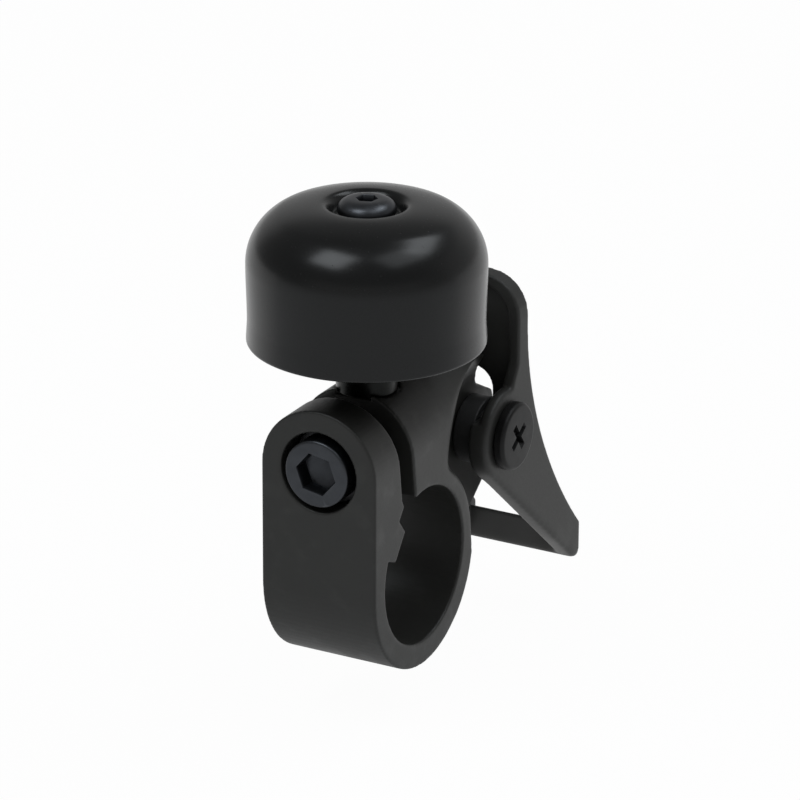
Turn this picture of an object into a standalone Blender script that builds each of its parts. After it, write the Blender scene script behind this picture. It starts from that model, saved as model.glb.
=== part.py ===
"""Clamp-on handlebar bell with a thumb lever, built piece by piece.

Metres, +Z up. The origin is the middle of the handlebar bore: +X runs along the bar,
+Y points back to the thumb lever and +Z points up to the bell.
"""

import math

import bmesh
import bpy
from mathutils import Matrix, Vector

MM = 0.001

# Clearances
SEAT_GAP = 0.3 * MM  # between pieces that rest on each other
RUN_GAP = 0.3 * MM  # around pieces that turn or pass through
TRIM = 1.0 * MM  # how far a cutter runs past what it cuts

# Handlebar clamp
BAR_DIAMETER = 22.2 * MM
RING_WALL = 2.85 * MM
RING_DROP = 0.45 * MM  # outer round of the ring below the bore, which makes its wall thickest underneath
CLAMP_WIDTH = 17.2 * MM
SCREW_ABOVE_BORE = 5.7 * MM
JAW_THICKNESS = 6.9 * MM
SLIT_WIDTH = 3.75 * MM
SLIT_TILT = math.radians(7.5)
GRIP_BITE = 2.2 * MM  # how far the grip teeth reach into the bore
GRIP_NOTCH = 0.45 * MM  # notch between the teeth, measured outward from the bore
GRIP_LIP = 1.1 * MM  # upper tooth, measured outward from the bore
GRIP_FOOT_ANGLE = 157.0
GRIP_TOOTH_ANGLE = 128.5
GRIP_LIP_ANGLE = 118.6
EDGE_BREAK = 0.35 * MM

# Clamp screw and washer
CLAMP_SCREW_DIAMETER = 6.0 * MM
CLAMP_HEAD_DIAMETER = 9.5 * MM
CLAMP_HEAD_HEIGHT = 4.0 * MM
CLAMP_HEAD_PROUD = 0.75 * MM
CLAMP_HEX = 5.0 * MM
CLAMP_HEX_DEPTH = 2.4 * MM
CLAMP_HEX_TURN = 50.0  # degrees
CLAMP_THREAD_IN_NECK = 8.0 * MM
COUNTERBORE_CLEARANCE = 1.0 * MM
CLAMP_WASHER_THICKNESS = 0.8 * MM

# Neck and lever arm
NECK_END = 3.0 * MM  # full height up to here
NECK_BLEND = 8.5 * MM  # way over which the top of the neck starts to fall to the arm
POCKET_RADIUS = 6.8 * MM  # flat side of the arm, round the pivot
POCKET_BLEND = 10.5 * MM  # way over which that flat rises to the clamp's full width
ARM_THICKNESS = 6.8 * MM
PIVOT_BEHIND_RING = 8.0 * MM
PIVOT_HEIGHT = 11.5 * MM
ARM_BOSS_RADIUS = 7.7 * MM
ARM_BOSS_END = 24.0  # where the boss runs into the stop, in degrees
ARM_UNDERSIDE = 36.5  # slope of the arm's underside, which leaves the ring as a tangent, in degrees
ARM_FOOT_FILLET = 3.0 * MM
ARM_CREST_DROP = 1.8 * MM  # crest of the arm below the top of the neck
ARM_CREST_FILLET = 2.0 * MM
STOP_BEHIND_PIVOT = 2.3 * MM
STOP_ROOT = 5.7 * MM  # foot of the stop, above the pivot
STOP_HEIGHT = 10.2 * MM  # upper end of the stop, above the pivot
STOP_FILLET = 1.0 * MM
POST_SEAT_DEPTH = 1.2 * MM

# Bell dome, its post and its screw
DOME_OFFSET = -0.7 * MM  # bell axis, along Y
DOME_RIM_RADIUS = 16.2 * MM
DOME_WAIST = 0.18 * MM
DOME_HEIGHT = 19.4 * MM
DOME_WALL = 1.6 * MM
SHOULDER_RADIUS = 8.1 * MM
SHOULDER_START = 60.0  # where the crown runs into the round shoulder, in degrees
CREST_RADIUS = 6.2 * MM  # highest ring of the crown, round the dimple
CROWN_RISE = 0.25 * MM  # crest above the full round of the shoulder
CROWN_PULL = 0.25  # share of the crown that is drawn out level or along the shoulder
WAIST_ABOVE_RIM = 3.0 * MM
DIMPLE_RADIUS = 4.95 * MM
DIMPLE_SLOPE = 0.5 * MM
DIMPLE_DEPTH = 1.65 * MM
DOME_SEAT_FLAT = 1.0 * MM  # flat beyond the seat washer
POST_RADIUS = 4.15 * MM
POST_LENGTH = 21.35 * MM
SEAT_WASHER_RADIUS = 5.2 * MM
SEAT_WASHER_THICKNESS = 1.0 * MM
DOME_SCREW_DIAMETER = 4.0 * MM
DOME_HEAD_DIAMETER = 8.0 * MM
DOME_HEAD_HEIGHT = 2.1 * MM
DOME_HEX = 2.5 * MM
DOME_HEX_DEPTH = 1.2 * MM
DOME_HEX_TURN = 20.0  # degrees
DOME_THREAD_IN_NECK = 3.2 * MM

# Thumb lever, measured from its pivot
LEVER_WIDTH = 19.4 * MM
CHEEK_THICKNESS = 2.7 * MM
LEVER_BOSS_RADIUS = 6.4 * MM
LEVER_BOSS_START = 79.0  # where the boss leaves the spoon, in degrees
SPOON_TOP = 21.6 * MM
SPOON_FRONT = 3.1 * MM
SPOON_BACK = 5.8 * MM
SPOON_CORNER = 5.7 * MM
SPOON_RIM = 1.5 * MM
SPOON_FOOT = 3.0 * MM  # fillet between the spoon and the boss
WEB_THICKNESS = 1.5 * MM
WEB_FOOT = 3.0 * MM  # lower end of the web beside its window
WINDOW_TOP = 7.5 * MM
WINDOW_HALF_WIDTH = 5.1 * MM
WINDOW_CORNER = 3.0 * MM
BACK_TOP = 14.5 * MM  # height at which the back starts to curve
BACK_TOP_PULL = 13.0 * MM
TAIL_REACH = 22.7 * MM
TAIL_TOP = -21.4 * MM
TAIL_PULL = 13.0 * MM
TAIL_SLOPE = math.radians(47.0)  # back of the tail at its tip, below level
TAIL_EDGE_SLOPE = math.radians(40.3)  # straight lower edge of the cheeks
TAIL_EDGE_LENGTH = 33.4 * MM
TAIL_FILLET = 1.0 * MM
THUMB_BAR_HEIGHT = 5.2 * MM
THUMB_BAR_THICKNESS = 1.9 * MM
STOP_RIB_WIDTH = 2.6 * MM
STOP_RIB_LOW = 7.7 * MM  # above the pivot
STOP_RIB_HIGH = 9.3 * MM

# Lever pivot
PIVOT_SCREW_DIAMETER = 4.0 * MM
PIVOT_HEAD_DIAMETER = 9.6 * MM
PIVOT_HEAD_HEIGHT = 1.5 * MM
PIVOT_HEAD_EDGE = 0.6 * MM  # rounding of the head's outer edge
CROSS_LENGTH = 4.2 * MM
CROSS_WIDTH = 1.0 * MM
CROSS_DEPTH = 0.9 * MM
CROSS_TURN = 35.0  # degrees
SLEEVE_WALL = 0.8 * MM
SPACER_WALL = 1.4 * MM
NUT_ACROSS_FLATS = 7.0 * MM
NUT_THICKNESS = 2.2 * MM
NUT_WASHER_WALL = 1.6 * MM
NUT_WASHER_THICKNESS = 0.6 * MM
SCREW_TIP = 0.5 * MM  # screw end beyond the nut

# Return spring
SPRING_WIRE = 0.5 * MM
SPRING_PITCH = 0.92 * MM
SPRING_CURL_POINTS = 10
SPRING_FIXED_LEG = 7.0 * MM
SPRING_LEG_LEAN = math.radians(20.0)
SPRING_HOOK = 2.4 * MM
SPRING_ARM_HOOK = 1.0 * MM  # how far the fixed leg reaches into the arm

# Striker
LEAF_THICKNESS = 0.5 * MM
LEAF_WIDTH = 4.5 * MM
LEAF_TAIL = 2.1 * MM  # below the rivet
LEAF_RISE = 2.3 * MM  # above the rivet, to the first bend
RIVET_ABOVE_PIVOT = 14.8 * MM
RIVET_RADIUS = 1.0 * MM
RIVET_HEAD_RADIUS = 2.0 * MM
RIVET_HEAD_HEIGHT = 0.9 * MM
STRIKER_ABOVE_RIM = 3.2 * MM
STRIKER_GAP = 0.87 * MM
STRIKER_RADIUS = 2.2 * MM
STRIKER_LENGTH = 3.5 * MM
STRIKER_STEM_RADIUS = 1.0 * MM
STRIKER_NOSE = 1.0 * MM
STRIKER_COLLAR = 0.6 * MM
STRIKER_COLLAR_RADIUS = 1.5 * MM
LEAF_ABOVE_STRIKER = 2.4 * MM

# Smoothness of round shapes
ROUND_SEGMENTS = 64
SMALL_SEGMENTS = 32
FILLET_STEPS = 6
SMOOTH_ANGLE = math.radians(35.0)

# Places that follow from the sizes above
BORE_RADIUS = BAR_DIAMETER / 2
RING_RADIUS = BORE_RADIUS + RING_WALL
RING_LOW = -RING_DROP - RING_RADIUS
HALF_WIDTH = CLAMP_WIDTH / 2
CLAMP_SCREW_Z = BORE_RADIUS + SCREW_ABOVE_BORE
NECK_TOP = CLAMP_SCREW_Z + HALF_WIDTH
FRONT_Y = -RING_RADIUS
SLIT_Y = FRONT_Y + JAW_THICKNESS + SLIT_WIDTH / 2
PIVOT_Y = RING_RADIUS + PIVOT_BEHIND_RING
PIVOT_Z = PIVOT_HEIGHT
HALF_ARM = ARM_THICKNESS / 2
HALF_LEVER = LEVER_WIDTH / 2
CHEEK_INSIDE = HALF_LEVER - CHEEK_THICKNESS
SLEEVE_INSIDE = PIVOT_SCREW_DIAMETER / 2 + RUN_GAP
SLEEVE_RADIUS = SLEEVE_INSIDE + SLEEVE_WALL
PIVOT_HOLE = SLEEVE_RADIUS + RUN_GAP
POST_SEAT_Z = NECK_TOP - POST_SEAT_DEPTH
POST_BORE = DOME_SCREW_DIAMETER / 2 + RUN_GAP
POST_TOP = POST_SEAT_Z + SEAT_GAP + POST_LENGTH
SEAT_WASHER_Z = POST_TOP + SEAT_GAP
DOME_INNER_TOP = SEAT_WASHER_Z + SEAT_WASHER_THICKNESS + SEAT_GAP
DIMPLE_Z = DOME_INNER_TOP + DOME_WALL
CREST_Z = DIMPLE_Z + DIMPLE_DEPTH
RIM_Z = CREST_Z - DOME_HEIGHT
SHOULDER_CENTRE = DOME_RIM_RADIUS - SHOULDER_RADIUS
SHOULDER_Z = CREST_Z - CROWN_RISE - SHOULDER_RADIUS
WEB_FRONT_Y = PIVOT_Y + SPOON_BACK - WEB_THICKNESS
LEAF_BACK_Y = WEB_FRONT_Y - SEAT_GAP
LEAF_FRONT_Y = LEAF_BACK_Y - LEAF_THICKNESS
RIVET_Z = PIVOT_Z + RIVET_ABOVE_PIVOT
STRIKER_Z = RIM_Z + STRIKER_ABOVE_RIM
STRIKER_TIP_Y = DOME_OFFSET + DOME_RIM_RADIUS + STRIKER_GAP
STRIKER_BASE_Y = STRIKER_TIP_Y + STRIKER_LENGTH

# Turned pieces are drawn along +Z and then laid along the axis they turn on
ALONG_X = Matrix.Rotation(math.radians(90.0), 4, "Y")
ALONG_Y = Matrix.Rotation(math.radians(-90.0), 4, "X")


def arc(centre, radius, start, end, steps):
    """Points on a circle from start to end, in degrees."""
    points = []
    for step in range(steps + 1):
        angle = math.radians(start + (end - start) * step / steps)
        points.append((centre[0] + radius * math.cos(angle), centre[1] + radius * math.sin(angle)))
    return points


def rounded(corners):
    """Outline through corners (a, b, fillet radius), with each fillet drawn as an arc."""
    points = []
    for index, (a, b, radius) in enumerate(corners):
        here = Vector((a, b))
        if radius == 0:
            points.append((a, b))
            continue
        before = (Vector(corners[index - 1][:2]) - here).normalized()
        after = (Vector(corners[(index + 1) % len(corners)][:2]) - here).normalized()
        half = before.angle(after) / 2
        centre = here + (before + after).normalized() * radius / math.sin(half)
        start = here + before * radius / math.tan(half) - centre
        end = here + after * radius / math.tan(half) - centre
        first = math.atan2(start.y, start.x)
        sweep = (math.atan2(end.y, end.x) - first + math.pi) % (2 * math.pi) - math.pi
        points += arc(centre, radius, math.degrees(first), math.degrees(first + sweep), FILLET_STEPS)
    return points


def sharp(points):
    """The same points as corners without a fillet."""
    return [(a, b, 0) for a, b in points]


def bezier(start, start_pull, end_pull, end, steps):
    """Points on a cubic curve between two ends."""
    points = []
    for step in range(steps + 1):
        t = step / steps
        weights = ((1 - t) ** 3, 3 * t * (1 - t) ** 2, 3 * t * t * (1 - t), t**3)
        curve = zip(weights, (start, start_pull, end_pull, end))
        points.append(tuple(sum((Vector(p) * w for w, p in curve), Vector((0, 0)))))
    return points


def line_meets_circle(base, slope, radius):
    """Height where the line a = base + slope * b leaves a circle about the origin, upper side."""
    square = 1 + slope * slope
    half_linear = base * slope
    return (-half_linear + math.sqrt(half_linear**2 - square * (base * base - radius * radius))) / square


def finish(name, shape, material=None):
    """Turn a bmesh into a named object with outward faces."""
    bmesh.ops.recalc_face_normals(shape, faces=shape.faces)
    mesh = bpy.data.meshes.new(name)
    shape.to_mesh(mesh)
    shape.free()
    mesh.shade_smooth()
    mesh.set_sharp_from_angle(angle=SMOOTH_ANGLE)
    piece = bpy.data.objects.new(name, mesh)
    bpy.context.collection.objects.link(piece)
    if material:
        mesh.materials.append(material)
    return piece


def prism(name, outline, axis, low, high, material=None):
    """Extrude an outline along X (outline in Y, Z), Y (in X, Z) or Z (in X, Y)."""
    place = {
        "X": lambda a, b, c: (c, a, b),
        "Y": lambda a, b, c: (a, c, b),
        "Z": lambda a, b, c: (a, b, c),
    }[axis]
    shape = bmesh.new()
    ends = [[shape.verts.new(place(a, b, level)) for a, b in outline] for level in (low, high)]
    count = len(outline)
    for index in range(count):
        after = (index + 1) % count
        shape.faces.new((ends[0][index], ends[0][after], ends[1][after], ends[1][index]))
    shape.faces.new(ends[0])
    shape.faces.new(ends[1])
    return finish(name, shape, material)


def turned(name, profile, place, material=None, segments=SMALL_SEGMENTS, hollow=False):
    """Turn a profile of (radius, height) points about Z, then put it in place.

    A hollow profile is a closed loop round a bore. Any other profile starts and ends on the axis.
    """
    shape = bmesh.new()
    rings = []
    for radius, height in profile:
        if radius == 0:
            rings.append([shape.verts.new((0, 0, height))])
            continue
        ring = []
        for step in range(segments):
            angle = 2 * math.pi * step / segments
            ring.append(shape.verts.new((radius * math.cos(angle), radius * math.sin(angle), height)))
        rings.append(ring)
    pairs = list(zip(rings, rings[1:]))
    if hollow:
        pairs.append((rings[-1], rings[0]))
    for upper, lower in pairs:
        for step in range(segments):
            after = (step + 1) % segments
            corners = [upper[step % len(upper)], upper[after % len(upper)]]
            corners += [lower[after % len(lower)], lower[step % len(lower)]]
            shape.faces.new(list(dict.fromkeys(corners)))
    shape.transform(place)
    return finish(name, shape, material)


def washer(name, inside, outside, low, high, place, material):
    """Flat ring between two heights on its axis."""
    profile = [(inside, low), (outside, low), (outside, high), (inside, high)]
    return turned(name, profile, place, material, hollow=True)


def rod(name, radius, low, high, place, segments=SMALL_SEGMENTS):
    """Plain cylinder, used as a cutter."""
    return turned(name, [(0, high), (radius, high), (radius, low), (0, low)], place, segments=segments)


def stepped(name, narrow, floor, wide, step, mouth, place):
    """Cutter for a hole that widens from a step to its mouth."""
    profile = [(0, mouth), (wide, mouth), (wide, step), (narrow, step), (narrow, floor), (0, floor)]
    return turned(name, profile, place, segments=ROUND_SEGMENTS // 2 + ROUND_SEGMENTS // 8)


def hexagon(across_flats, turn):
    """Six corners of a hexagon about the origin, turned by some degrees."""
    return arc((0, 0), across_flats / math.sqrt(3), turn, turn + 300, 5)


def combine(piece, cutter, operation="DIFFERENCE"):
    """Cut, join or trim a piece with a hidden helper shape."""
    cutter.hide_render = True
    cutter.display_type = "WIRE"
    boolean = piece.modifiers.new(cutter.name, "BOOLEAN")
    boolean.operation = operation
    boolean.solver = "EXACT"
    boolean.object = cutter


def coat(name, colour, roughness, metallic):
    """Material of one piece."""
    material = bpy.data.materials.new(name)
    material.use_nodes = True
    shader = material.node_tree.nodes["Principled BSDF"]
    shader.inputs["Base Color"].default_value = (*colour, 1)
    shader.inputs["Roughness"].default_value = roughness
    shader.inputs["Metallic"].default_value = metallic
    return material


def slit_wall(side, height):
    """Y of the front (-1) or back (+1) wall of the slit at a height."""
    return SLIT_Y + side * SLIT_WIDTH / 2 - math.tan(SLIT_TILT) * (height - CLAMP_SCREW_Z)


def polar(radius, angle):
    """Point at an angle in degrees about the bore."""
    return radius * math.cos(math.radians(angle)), radius * math.sin(math.radians(angle))


def clamp_outline():
    """Side outline of the split ring, its jaw, the neck and the lever arm, in Y and Z."""
    above = NECK_TOP + TRIM
    stop = PIVOT_Y + STOP_BEHIND_PIVOT
    arm_end = PIVOT_Y + ARM_BOSS_RADIUS
    tangent = math.radians(ARM_UNDERSIDE)
    arm_foot = (arm_end * math.sin(tangent) - RING_RADIUS) / math.cos(tangent) - RING_DROP
    crest = (stop - STOP_HEIGHT / 2, NECK_TOP - ARM_CREST_DROP)
    slope = -math.tan(SLIT_TILT)
    back_base = slit_wall(1, 0)
    mouth = line_meets_circle(back_base, slope, BORE_RADIUS)
    mouth_angle = math.degrees(math.atan2(mouth, back_base + slope * mouth))
    root = BORE_RADIUS + GRIP_LIP / 2
    corners = sharp([(FRONT_Y, above)])
    corners += sharp(arc((0, -RING_DROP), RING_RADIUS, 180, 270 + ARM_UNDERSIDE, ROUND_SEGMENTS // 2))
    corners += [(arm_end, arm_foot, ARM_FOOT_FILLET)]
    corners += sharp(arc((PIVOT_Y, PIVOT_Z), ARM_BOSS_RADIUS, 0, ARM_BOSS_END, FILLET_STEPS))
    corners += [(stop, PIVOT_Z + STOP_ROOT, STOP_FILLET), (stop, PIVOT_Z + STOP_HEIGHT, STOP_FILLET)]
    corners += [(*crest, ARM_CREST_FILLET), (NECK_END + NECK_BLEND, NECK_TOP, STOP_FILLET)]
    corners += sharp([(NECK_END, above), (slit_wall(1, above), above)])
    corners += sharp(arc((0, 0), BORE_RADIUS, mouth_angle, GRIP_FOOT_ANGLE - 360, ROUND_SEGMENTS))
    corners += sharp([polar(BORE_RADIUS - GRIP_BITE, GRIP_FOOT_ANGLE)])
    corners += sharp([polar(BORE_RADIUS - GRIP_BITE, GRIP_TOOTH_ANGLE)])
    corners += sharp([polar(BORE_RADIUS + GRIP_NOTCH, GRIP_TOOTH_ANGLE)])
    corners += sharp([polar(BORE_RADIUS + GRIP_LIP, GRIP_LIP_ANGLE)])
    corners += sharp([(slit_wall(-1, root), root), (slit_wall(-1, above), above)])
    return rounded(corners)


def neck_pocket(side):
    """Cutter that thins the neck to the arm on one side: flat round the pivot, and open below it."""
    steps = 14
    below = RING_LOW - TRIM
    rise = HALF_WIDTH + EDGE_BREAK - HALF_ARM
    levels = [(POCKET_RADIUS + POCKET_BLEND, HALF_WIDTH + TRIM)]
    for step in range(steps, -1, -1):
        share = step / steps
        ease = (1 - math.cos(math.pi * share)) / 2
        levels.append((POCKET_RADIUS + POCKET_BLEND * share, HALF_ARM + rise * ease))
    shape = bmesh.new()
    rings = []
    for way, level in levels:
        loop = [(PIVOT_Y + way, below), *arc((PIVOT_Y, PIVOT_Z), way, 0, 180, 2 * steps), (PIVOT_Y - way, below)]
        rings.append([shape.verts.new((side * level, y, z)) for y, z in loop])
    for upper, lower in zip(rings, rings[1:]):
        for index, corner in enumerate(upper):
            shape.faces.new((upper[index - 1], corner, lower[index], lower[index - 1]))
    shape.faces.new(rings[0])
    shape.faces.new(rings[-1])
    return finish(f"neck pocket {side}", shape)


def build_clamp():
    """Cast clamp: ring, jaw, neck and lever arm in one piece."""
    black = coat("clamp black", (0.03, 0.03, 0.029), 0.45, 0.6)
    body = prism("clamp_body", clamp_outline(), "X", -HALF_WIDTH - TRIM, HALF_WIDTH + TRIM, black)
    below = RING_LOW - TRIM
    crown = [(-HALF_WIDTH, below), *arc((0, CLAMP_SCREW_Z), HALF_WIDTH, 180, 0, 36), (HALF_WIDTH, below)]
    reach = PIVOT_Y + ARM_BOSS_RADIUS + TRIM
    combine(body, prism("clamp crown", crown, "Y", FRONT_Y - TRIM, reach), "INTERSECT")
    ring_radius = RING_RADIUS + EDGE_BREAK / 4
    round_place = Matrix.Translation((0, 0, -RING_DROP)) @ ALONG_X
    ring = rod("clamp ring", ring_radius, -CLAMP_WIDTH, CLAMP_WIDTH, round_place, ROUND_SEGMENTS)
    ring.hide_render = True
    ring.display_type = "WIRE"
    for side in (-1, 1):
        pocket = neck_pocket(side)
        combine(pocket, ring)
        combine(body, pocket)
    front = Matrix.Translation((0, 0, CLAMP_SCREW_Z)) @ ALONG_Y
    washer_floor = FRONT_Y - CLAMP_HEAD_PROUD + CLAMP_HEAD_HEIGHT + CLAMP_WASHER_THICKNESS + 2 * SEAT_GAP
    counterbore = CLAMP_HEAD_DIAMETER / 2 + COUNTERBORE_CLEARANCE
    shank_hole = CLAMP_SCREW_DIAMETER / 2 + RUN_GAP
    neck_depth = slit_wall(1, CLAMP_SCREW_Z) + CLAMP_THREAD_IN_NECK + TRIM
    mouth = FRONT_Y - TRIM
    bore = stepped("clamp screw bore", shank_hole, neck_depth, counterbore, washer_floor, mouth, front)
    combine(body, bore)
    bell = Matrix.Translation((0, DOME_OFFSET, 0))
    seat = POST_RADIUS + RUN_GAP
    dome_hole = DOME_SCREW_DIAMETER / 2 + RUN_GAP
    dome_hole_floor = POST_SEAT_Z - DOME_THREAD_IN_NECK - SEAT_GAP
    above = NECK_TOP + TRIM
    combine(body, stepped("post bore", dome_hole, dome_hole_floor, seat, POST_SEAT_Z, above, bell))
    pivot = Matrix.Translation((0, PIVOT_Y, PIVOT_Z)) @ ALONG_X
    combine(body, rod("pivot hole", PIVOT_HOLE, -HALF_WIDTH, HALF_WIDTH, pivot))
    spring_hole = Matrix.Translation((0, *spring_anchor())) @ ALONG_X
    combine(body, rod("spring hole", SPRING_WIRE / 2 + RUN_GAP, -HALF_WIDTH, 0, spring_hole, 16))


def build_clamp_screw():
    """Socket cap screw and washer that pull the jaw to the neck."""
    steel = coat("clamp screw black oxide", (0.045, 0.047, 0.05), 0.38, 0.9)
    zinc = coat("clamp washer black", (0.02, 0.02, 0.021), 0.4, 0.9)
    face = FRONT_Y - CLAMP_HEAD_PROUD
    under = face + CLAMP_HEAD_HEIGHT
    end = slit_wall(1, CLAMP_SCREW_Z) + CLAMP_THREAD_IN_NECK
    head = CLAMP_HEAD_DIAMETER / 2
    shank = CLAMP_SCREW_DIAMETER / 2
    place = Matrix.Translation((0, 0, CLAMP_SCREW_Z)) @ ALONG_Y
    profile = [(0, end), (shank - EDGE_BREAK, end), (shank, end - EDGE_BREAK), (shank, under)]
    profile += [(head, under), (head, face + EDGE_BREAK), (head - EDGE_BREAK, face), (0, face)]
    screw = turned("clamp_screw", profile, place, steel, 40)
    socket = [(x, z + CLAMP_SCREW_Z) for x, z in hexagon(CLAMP_HEX, CLAMP_HEX_TURN)]
    combine(screw, prism("clamp socket", socket, "Y", face - TRIM, face + CLAMP_HEX_DEPTH))
    low = under + SEAT_GAP
    outside = head + COUNTERBORE_CLEARANCE - RUN_GAP
    washer("clamp_washer", shank + RUN_GAP, outside, low, low + CLAMP_WASHER_THICKNESS, place, zinc)


def dome_outside():
    """Outer profile of the bell from its screw hole to its rim, as radius and height."""
    waist = DOME_RIM_RADIUS - DOME_WAIST
    slope = bezier(
        (DIMPLE_RADIUS - DIMPLE_SLOPE, DIMPLE_Z),
        (DIMPLE_RADIUS, DIMPLE_Z),
        (DIMPLE_RADIUS, CREST_Z),
        (CREST_RADIUS, CREST_Z),
        FILLET_STEPS + 2,
    )
    turn = arc((SHOULDER_CENTRE, SHOULDER_Z), SHOULDER_RADIUS, SHOULDER_START, 0, 2 * FILLET_STEPS)
    start = math.radians(SHOULDER_START)
    pull = CROWN_PULL * (turn[0][0] - CREST_RADIUS)
    crown = bezier(
        (CREST_RADIUS, CREST_Z),
        (CREST_RADIUS + pull, CREST_Z),
        (turn[0][0] - pull * math.sin(start), turn[0][1] + pull * math.cos(start)),
        turn[0],
        FILLET_STEPS,
    )
    points = [(POST_BORE, DIMPLE_Z), *slope, *crown[1:], *turn[1:]]
    waist_z = RIM_Z + WAIST_ABOVE_RIM
    third = (SHOULDER_Z - waist_z) / 3
    skirt = bezier(
        (DOME_RIM_RADIUS, SHOULDER_Z),
        (DOME_RIM_RADIUS, SHOULDER_Z - third),
        (waist, waist_z + third),
        (waist, waist_z),
        FILLET_STEPS,
    )
    points += skirt[1:]
    points.append((DOME_RIM_RADIUS, RIM_Z + EDGE_BREAK))
    points.append((DOME_RIM_RADIUS - EDGE_BREAK, RIM_Z))
    return points


def dome_inside():
    """Inner profile of the bell from its rim back to its screw hole."""
    inside = DOME_RIM_RADIUS - DOME_WAIST - DOME_WALL
    corner = SHOULDER_RADIUS - DOME_WALL
    points = [(inside, RIM_Z), (inside, SHOULDER_Z)]
    points += arc((inside - corner, SHOULDER_Z), corner, 8, 60, 7)
    points += [(SEAT_WASHER_RADIUS + DOME_SEAT_FLAT, DOME_INNER_TOP), (POST_BORE, DOME_INNER_TOP)]
    return points


def build_bell():
    """Dome, its post, the washer between them and the screw that holds them down."""
    gloss = coat("bell gloss black", (0.012, 0.013, 0.013), 0.22, 0.0)
    anodised = coat("post black", (0.03, 0.032, 0.03), 0.35, 0.8)
    fibre = coat("fibre washer", (0.05, 0.04, 0.035), 0.8, 0.0)
    steel = coat("dome screw black oxide", (0.04, 0.042, 0.046), 0.35, 0.9)
    bell = Matrix.Translation((0, DOME_OFFSET, 0))
    turned("bell_dome", dome_outside() + dome_inside(), bell, gloss, ROUND_SEGMENTS, hollow=True)
    washer("bell_post", POST_BORE, POST_RADIUS, POST_SEAT_Z + SEAT_GAP, POST_TOP, bell, anodised)
    top = SEAT_WASHER_Z + SEAT_WASHER_THICKNESS
    washer("dome_seat_washer", POST_BORE, SEAT_WASHER_RADIUS, SEAT_WASHER_Z, top, bell, fibre)
    under = DIMPLE_Z + SEAT_GAP
    crown = under + DOME_HEAD_HEIGHT
    head = DOME_HEAD_DIAMETER / 2
    flat = DOME_HEX / 2 + EDGE_BREAK
    end = POST_SEAT_Z - DOME_THREAD_IN_NECK
    shank = DOME_SCREW_DIAMETER / 2
    button = bezier(
        (flat, crown),
        (head - EDGE_BREAK, crown),
        (head, (crown + under) / 2),
        (head, under + EDGE_BREAK),
        FILLET_STEPS,
    )
    profile = [(0, crown), *button, (head, under), (shank, under), (shank, end), (0, end)]
    screw = turned("dome_screw", profile, bell, steel)
    socket = [(x, y + DOME_OFFSET) for x, y in hexagon(DOME_HEX, DOME_HEX_TURN)]
    combine(screw, prism("dome socket", socket, "Z", crown - DOME_HEX_DEPTH, crown + TRIM))


def tail_edge(along, out):
    """Point in Y and Z by its way down the cheeks' lower edge and its distance out from the pivot."""
    step = Vector((math.cos(TAIL_EDGE_SLOPE), -math.sin(TAIL_EDGE_SLOPE)))
    side = Vector((step.y, -step.x))
    return tuple(Vector((PIVOT_Y, PIVOT_Z)) + along * step + out * side)


def lever_outline():
    """Side outline of the lever: spoon, pivot boss and tail, in Y and Z."""
    above = PIVOT_Z + SPOON_TOP + TRIM
    front = PIVOT_Y + SPOON_FRONT
    back = PIVOT_Y + SPOON_BACK
    end = PIVOT_Y + TAIL_REACH
    tip = (end, PIVOT_Z + TAIL_TOP)
    tip_pull = (end - TAIL_PULL * math.cos(TAIL_SLOPE), tip[1] + TAIL_PULL * math.sin(TAIL_SLOPE))
    top = (back, PIVOT_Z + BACK_TOP)
    lower_angle = 270 - math.degrees(TAIL_EDGE_SLOPE)
    corners = sharp([(front, above)])
    corners += [(front, PIVOT_Z + LEVER_BOSS_RADIUS + SPOON_FOOT, SPOON_FOOT)]
    corners += sharp(arc((PIVOT_Y, PIVOT_Z), LEVER_BOSS_RADIUS, LEVER_BOSS_START, lower_angle, 22))
    corners += [(*tail_edge(TAIL_EDGE_LENGTH, LEVER_BOSS_RADIUS), TAIL_FILLET)]
    corners += [(end, tip[1] - THUMB_BAR_HEIGHT, TAIL_FILLET / 2)]
    corners += sharp(bezier(tip, tip_pull, (back, top[1] - BACK_TOP_PULL), top, 18))
    corners += sharp([(back, above)])
    return rounded(corners)


def spoon_outline(half_width, corner, top, foot):
    """Front outline of the spoon or of its pocket, in X and Z."""
    upper = [(-half_width, top, corner), (half_width, top, corner)]
    return rounded([(-half_width, foot, 0), *upper, (half_width, foot, 0)])


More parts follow.
